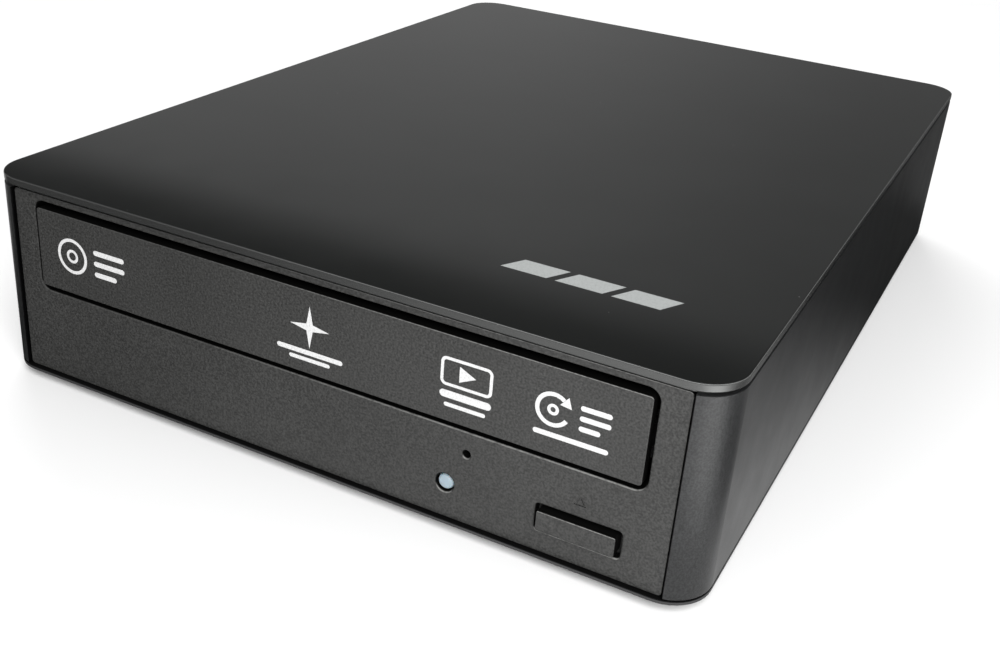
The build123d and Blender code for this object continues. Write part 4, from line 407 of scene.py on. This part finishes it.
# ---------------------------------------------------------------- materials by slot
MATERIALS = {
    "lid_paint": lid_paint(),
    "case_plastic": surface("case_plastic", CASE_GREY, 0.34, SPARK, mottle=0.08, wear=0.35, edge_mm=0.15,
                            spots=0.35, painted_glint_speckle=0.5, lit=unshaded_outer_walls),
    "bezel_plastic": front_moulding("bezel_plastic", BEZEL_GREY),
    "button_plastic": front_moulding("button_plastic", BEZEL_GREY),
    "base_paint": surface("base_paint", BASE_GREY, 0.48, [(0.35, 0.012, "noise")], lit=below_seam_shadow),
    "foot_rubber": surface("foot_rubber", (0.016, 0.016, 0.016), 0.75, [(0.4, 0.03, "noise")]),
    "damper_rubber": surface("damper_rubber", (0.02, 0.02, 0.02), 0.70, [(0.3, 0.02, "noise")]),
    "belt_rubber": surface("belt_rubber", (0.014, 0.014, 0.014), 0.65, [(0.2, 0.01, "noise")]),
    "screw_steel": brushed("screw_steel", (0.52, 0.52, 0.50), 0.34, "X"),
    "sheet_steel": brushed("sheet_steel", (0.56, 0.57, 0.56), 0.38, "Y"),
    "rod_steel": brushed("rod_steel", (0.70, 0.70, 0.70), 0.18, "Y"),
    "board_green": circuit_board(),
    "chip_black": surface("chip_black", (0.018, 0.018, 0.018), 0.55, [(0.15, 0.006, "noise")]),
    "socket_black": surface("socket_black", (0.02, 0.02, 0.02), 0.42, [(0.3, 0.008, "noise")]),
    "port_metal": brushed("port_metal", (0.60, 0.59, 0.56), 0.30, "Y"),
    "cable_sleeve": surface("cable_sleeve", (0.22, 0.02, 0.02), 0.45, [(0.5, 0.01, "noise")]),
    "tray_plastic": surface("tray_plastic", (0.022, 0.022, 0.022), 0.40, [(0.25, 0.006, "noise")], wear=0.4),
    "frame_plastic": surface("frame_plastic", (0.026, 0.026, 0.026), 0.50, [(0.3, 0.01, "noise")]),
    "gear_plastic": surface("gear_plastic", (0.72, 0.70, 0.64), 0.40, [(0.3, 0.006, "noise")], mottle=0.05),
    "lens_clear": light_pipe(),
    "magnet": brushed("magnet", (0.45, 0.45, 0.45), 0.30, "X"),
    "motor_can": brushed("motor_can", (0.58, 0.58, 0.57), 0.32, "Z"),
    "sled_metal": surface("sled_metal", (0.45, 0.45, 0.46), 0.45, [(0.5, 0.02, "noise")], metallic=0.9),
    "optic_glass": optic_glass(),
}


def dress_cad_nodes():
    """Gives every CAD node its slot's material, and smooth shading with sharp corners kept."""
    slot_of = {part["node"]: part["material_slot"] for part in frame["record"]["subparts"]}
    for name, node in frame["nodes"].items():
        node.data.materials.clear()
        node.data.materials.append(MATERIALS[slot_of[name]])
        node.data.shade_smooth()
        node.data.set_sharp_from_angle(angle=radians(28))


# ---------------------------------------------------------------- printed marks
def ring_points(centre, radius, start=0.0, end=360.0, steps=48):
    """Points on an arc, in the plane of a mark."""
    count = max(2, int(steps * abs(end - start) / 360))
    turns = [radians(start + (end - start) * step / count) for step in range(count + 1)]
    return [(centre[0] + radius * cos(turn), centre[1] + radius * sin(turn)) for turn in turns]


def band(outer, inner):
    """Quads between two point runs of equal length."""
    return [[outer[i], outer[i + 1], inner[i + 1], inner[i]] for i in range(len(outer) - 1)]


def arc_band(centre, radius, width, start=0.0, end=360.0):
    """A ring or a part of one, measured to its outer edge."""
    return band(ring_points(centre, radius, start, end), ring_points(centre, radius - width, start, end))


def pill(x0, x1, y, height):
    """A bar with round ends."""
    radius = height / 2
    right = ring_points((x1 - radius, y), radius, -90, 90, 24)
    left = ring_points((x0 + radius, y), radius, 90, 270, 24)
    return [right + left]


def rounded_frame(x0, x1, y0, y1, radius, width):
    """The outline of a rounded rectangle, as a band."""
    def loop(inset):
        corners = ((x1, y0, -90), (x1, y1, 0), (x0, y1, 90), (x0, y0, 180))
        points = []
        for x, y, start in corners:
            cx = x - radius if x == x1 else x + radius
            cy = y - radius if y == y1 else y + radius
            points += ring_points((cx, cy), radius - inset, start, start + 90, 32)
        return points + points[:1]

    return band(loop(0), loop(width))


def printed_mark(name, faces, origin, right, up, body, material):
    """A thin raised print: 2D faces in millimetres, laid on the plane through origin."""
    normal = right.cross(up)
    mesh = bmesh.new()
    corners = {}

    def corner(point, level):
        key = (round(point[0], 4), round(point[1], 4), level)
        if key not in corners:
            place = origin + right * (point[0] * MM) + up * (point[1] * MM)
            corners[key] = mesh.verts.new(place + normal * (level * INK_THICKNESS))
        return corners[key]

    walls = {}
    for face in faces:
        area = sum(face[i - 1][0] * face[i][1] - face[i][0] * face[i - 1][1] for i in range(len(face)))
        outline = face if area > 0 else face[::-1]
        mesh.faces.new([corner(point, 1) for point in outline])
        mesh.faces.new([corner(point, 0) for point in reversed(outline)])
        for i in range(len(outline)):
            first, second = outline[i - 1], outline[i]
            key = frozenset((corner(first, 0), corner(second, 0)))
            walls[key] = None if key in walls else (first, second)
    for wall in filter(None, walls.values()):
        first, second = wall
        mesh.faces.new([corner(first, 0), corner(second, 0), corner(second, 1), corner(first, 1)])
    data = bpy.data.meshes.new(name)
    mesh.to_mesh(data)
    mesh.free()
    data.materials.append(material)
    piece = bpy.data.objects.new(name, data)
    bpy.context.scene.collection.objects.link(piece)
    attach(piece, body)


def print_ink(name, colour, roughness):
    """Screen-printed ink: nearly flat colour, thin in places, on the grain below."""
    shader = Shader(name)
    patchy = shader.remap(shader.noise(0.35, 4.0, seed=12), 0.25, 0.6)
    body = shader.mix(patchy, rgba(colour, 0.78), rgba(colour))
    shader.bump(shader.cells(0.55), 0.012)
    return shader.finish(body, roughness)


def door_marks():
    """Four generic white prints on the door."""
    white = print_ink("white_ink", WHITE_INK, 0.5)
    low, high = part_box("tray_door")
    right, up = Vector((1, 0, 0)), Vector((0, 0, 1))
    face_y = low.y
    middle_z = (low.z + high.z) / 2

    def on_door(name, x, faces):
        origin = Vector((x * MM, face_y, middle_z))
        printed_mark(name, faces, origin, right, up, "tray", white)

    # a disc seen flat, with three plain bars beside it
    disc = arc_band((-5.2, 0), 3.9, 0.7) + arc_band((-5.2, 0), 1.5, 0.6)
    bars = pill(0.6, 8.6, 2.4, 1.1) + pill(0.6, 8.6, 0.0, 1.1) + pill(0.6, 6.4, -2.4, 1.1)
    on_door("print_disc", -53.4, disc + bars)
    # a four-pointed spark over two plain bars
    spark = []
    for turn in range(8):
        reach = 4.4 if turn % 2 == 0 else 1.0
        spark.append((reach * cos(radians(turn * 45)), 1.2 + reach * sin(radians(turn * 45))))
    on_door("print_light", 0.0, [spark] + pill(-7.4, 7.4, -4.2, 1.0) + pill(-4.6, 4.6, -5.7, 0.8))
    # a play triangle in a rounded frame
    frame_band = rounded_frame(-5.2, 5.2, -1.4, 4.4, 1.2, 0.6)
    play = [[(-1.4, -0.1), (1.9, 1.5), (-1.4, 3.1)]]
    on_door("print_play", 33.3, frame_band + play + pill(-5.2, 5.2, -3.1, 1.5) + pill(-4.2, 4.2, -5.2, 0.8))
    # a ring that ends in an arrow, with three plain bars beside it
    ring_centre = (-2.4, 0.6)
    ring = arc_band(ring_centre, 3.4, 0.8, 50, 330)
    arrow = [[(0.34, 3.79), (-1.20, 1.95), (1.02, 1.65)]]
    hub = arc_band(ring_centre, 1.1, 0.6)
    lines = pill(2.6, 8.4, 2.6, 1.0) + pill(2.6, 8.4, 0.6, 1.0) + pill(2.6, 6.6, -1.4, 1.0)
    on_door("print_write", 52.6, ring + arrow + hub + lines + pill(-5.8, 8.4, -4.4, 1.0))


def lid_badge():
    """Three slanted grey bars on the lid, by its right front corner."""
    grey = print_ink("grey_ink", GREY_INK, 0.42)
    right, up = Vector((1, 0, 0)), Vector((0, 1, 0))
    lid_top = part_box("top_cover")[1].z
    origin = Vector((45.4 * MM, -86.0 * MM, lid_top))
    half_height, length, pitch, lean = 2.6, 9.4, 11.2, 1.35
    bars = []
    for step in range(3):
        start = -16.0 + step * pitch
        bars.append([(start - lean, -half_height), (start + length - lean, -half_height),
                     (start + length + lean, half_height), (start + lean, half_height)])
    printed_mark("print_badge", bars, origin, right, up, "case", grey)


# ---------------------------------------------------------------- stage, light and camera
def reflected_floor(shader):
    """How bright reflections in the case find the floor at each place.

    It is painted as a pool of light, brightest in front on the right and falling off towards the left and
    the rear, with a painted shadow beside the right front corner. Behind the case and on its left it is an
    even grey.
    """
    x, y, _ = shader.split(shader.mm)
    across = shader.remap(x, -100, 60)
    rearward = shader.math("SUBTRACT", y, shader.math("MULTIPLY", x, 1.5))
    along = shader.remap(y, -75, 54, 1.0, 0.03)
    along = shader.math("ADD", along, shader.remap(rearward, -11, 21, 0.0, 0.22))
    away = shader.math("MULTIPLY", shader.remap(x, 87, 102), shader.remap(y, -105, -60, 0.0, 0.55))
    along = shader.math("MULTIPLY", along, shader.math("SUBTRACT", 1.0, away))
    level = shader.math("MULTIPLY", shader.math("MULTIPLY", across, along), FLOOR_GLOSS_LEVEL)
    from_patch = shader.math_vector("DISTANCE", shader.mm, SHADOW_PATCH)
    level = shader.math("MULTIPLY", level, shader.remap(from_patch, 18, 50, 0.25, 1.0))
    behind = shader.math("MULTIPLY", shader.remap(y, 116, 150), shader.remap(x, 75, 50))
    beside = shader.math("MULTIPLY", shader.remap(x, -82, -105), shader.remap(y, -105, -75))
    far = shader.math("MULTIPLY", shader.math("MAXIMUM", behind, beside), FAR_GLOSS_LEVEL)
    return shader.math("ADD", level, far)


def floor_paper():
    """Pale paper that fades into the white surroundings, with a card that glows in reflections only."""
    shader = Shader("floor_paper")
    paths = shader.tree.nodes.new("ShaderNodeLightPath").outputs
    tone = shader.mix(shader.noise(300.0, seed=13), rgba((0.88,) * 3), rgba((0.90,) * 3))
    tone = shader.mix(paths["Is Glossy Ray"], tone, reflected_floor(shader))
    from_card = shader.math_vector("DISTANCE", shader.mm, GLOW_CARD)
    card = shader.math("MULTIPLY", paths["Is Glossy Ray"], shader.remap(from_card, 10, 58, CARD_GLOW, 0.0))
    from_middle = shader.math_vector("DISTANCE", shader.mm, (0.0, 0.0, 0.0))
    sweep = shader.math("MULTIPLY", paths["Is Camera Ray"], shader.remap(from_middle, *FLOOR_FADE))
    tone = shader.mix(sweep, tone, rgba((0.0,) * 3))
    glow = shader.math("ADD", card, shader.math("MULTIPLY", sweep, BACKDROP_WHITE))
    shader.feed(rgba((1.0,) * 3), shader.bsdf.inputs["Emission Color"])
    return shader.finish(tone, 0.8, emission_strength=glow)


def stage_floor():
    """A square floor, flush with the feet."""
    half = FLOOR_SIZE / 2
    corners = [(-half, -half, 0), (half, -half, 0), (half, half, 0), (-half, half, 0)]
    mesh = bpy.data.meshes.new("floor")
    mesh.from_pydata(corners, [], [(0, 1, 2, 3)])
    mesh.materials.append(floor_paper())
    floor = bpy.data.objects.new("floor", mesh)
    bpy.context.scene.collection.objects.link(floor)


def area_light(name, place, target, width, height, power):
    """A soft box that neither the camera nor any reflection sees."""
    data = bpy.data.lights.new(name, "AREA")
    data.shape = "RECTANGLE"
    data.size = width
    data.size_y = height
    data.energy = power
    light = bpy.data.objects.new(name, data)
    light.location = place
    light.rotation_euler = (Vector(target) - Vector(place)).to_track_quat("-Z", "Y").to_euler()
    light.visible_camera = False
    light.visible_glossy = False
    bpy.context.scene.collection.objects.link(light)


def room():
    """White surroundings.

    Reflections find a dim room with one low bright wall behind, brighter to the left, and a grey ceiling.
    """
    world = bpy.data.worlds.new("studio")
    bpy.context.scene.world = world
    world.use_nodes = True
    world.cycles.sampling_method = "NONE"
    nodes = Nodes(world.node_tree)
    x, y, z = nodes.split(nodes.tree.nodes.new("ShaderNodeTexCoord").outputs["Generated"])
    slope = nodes.math("ARCTAN2", z, y)
    aside = nodes.math("ARCTAN2", x, y)
    wall = nodes.remap(aside, *WALL_TURN, *WALL_LEVEL)
    reflected = nodes.remap(slope, WALL_TOP - WALL_FADE, WALL_TOP + WALL_FADE, wall, ROOM_LEVEL)
    ceiling = nodes.remap(slope, *CEILING_FADE, 0.0, CEILING_LEVEL)
    reflected = nodes.math("ADD", reflected, ceiling)
    paths = nodes.tree.nodes.new("ShaderNodeLightPath").outputs
    light = nodes.mix(paths["Is Camera Ray"], rgba((ROOM_LIGHT,) * 3), rgba((BACKDROP_WHITE,) * 3))
    background = nodes.tree.nodes["Background"]
    nodes.link(nodes.mix(paths["Is Glossy Ray"], light, reflected), background.inputs["Color"])
    background.inputs["Strength"].default_value = 1.0


def studio():
    """A large soft box high in front on the right, a weaker one behind, and a small one near the front."""
    area_light("key_box", (0.70, -0.95, 1.30), (0, 0, 0), 1.3, 1.3, KEY_WATTS)
    area_light("rear_box", (-0.80, 1.10, 0.90), (0, 0, 0), 1.2, 1.0, REAR_WATTS)
    area_light("front_box", (0.20, -0.33, 0.12), (0.05, -0.11, 0.02), 0.10, 0.16, FRONT_WATTS)
    bpy.context.scene.view_settings.view_transform = "Standard"


def camera():
    """The photographer's view: azimuth and elevation about the case, a small roll and an off-centre axis."""
    level = cos(CAMERA_ELEVATION)
    back = Vector((sin(CAMERA_AZIMUTH) * level, -cos(CAMERA_AZIMUTH) * level, sin(CAMERA_ELEVATION)))
    right = (-back).cross(Vector((0, 0, 1))).normalized()
    up = right.cross(-back)
    case_bottom = Vector((0, 0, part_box("bottom_cover")[0].z))
    place = case_bottom + back * CAMERA_DISTANCE + right * CAMERA_ASIDE[0] + up * CAMERA_ASIDE[1]
    rolled_right = right * cos(CAMERA_ROLL) + up * sin(CAMERA_ROLL)
    rolled_up = up * cos(CAMERA_ROLL) - right * sin(CAMERA_ROLL)
    data = bpy.data.cameras.new("camera")
    data.sensor_width = SENSOR_MM
    data.lens = LENS_MM
    data.shift_x, data.shift_y = LENS_SHIFT
    data.clip_start = 0.01
    view = bpy.data.objects.new("camera", data)
    turn = Matrix((rolled_right, rolled_up, back)).transposed()
    view.matrix_world = Matrix.Translation(place) @ turn.to_4x4()
    bpy.context.scene.collection.objects.link(view)
    bpy.context.scene.camera = view


dress_cad_nodes()
door_marks()
lid_badge()
stage_floor()
room()
studio()
camera()
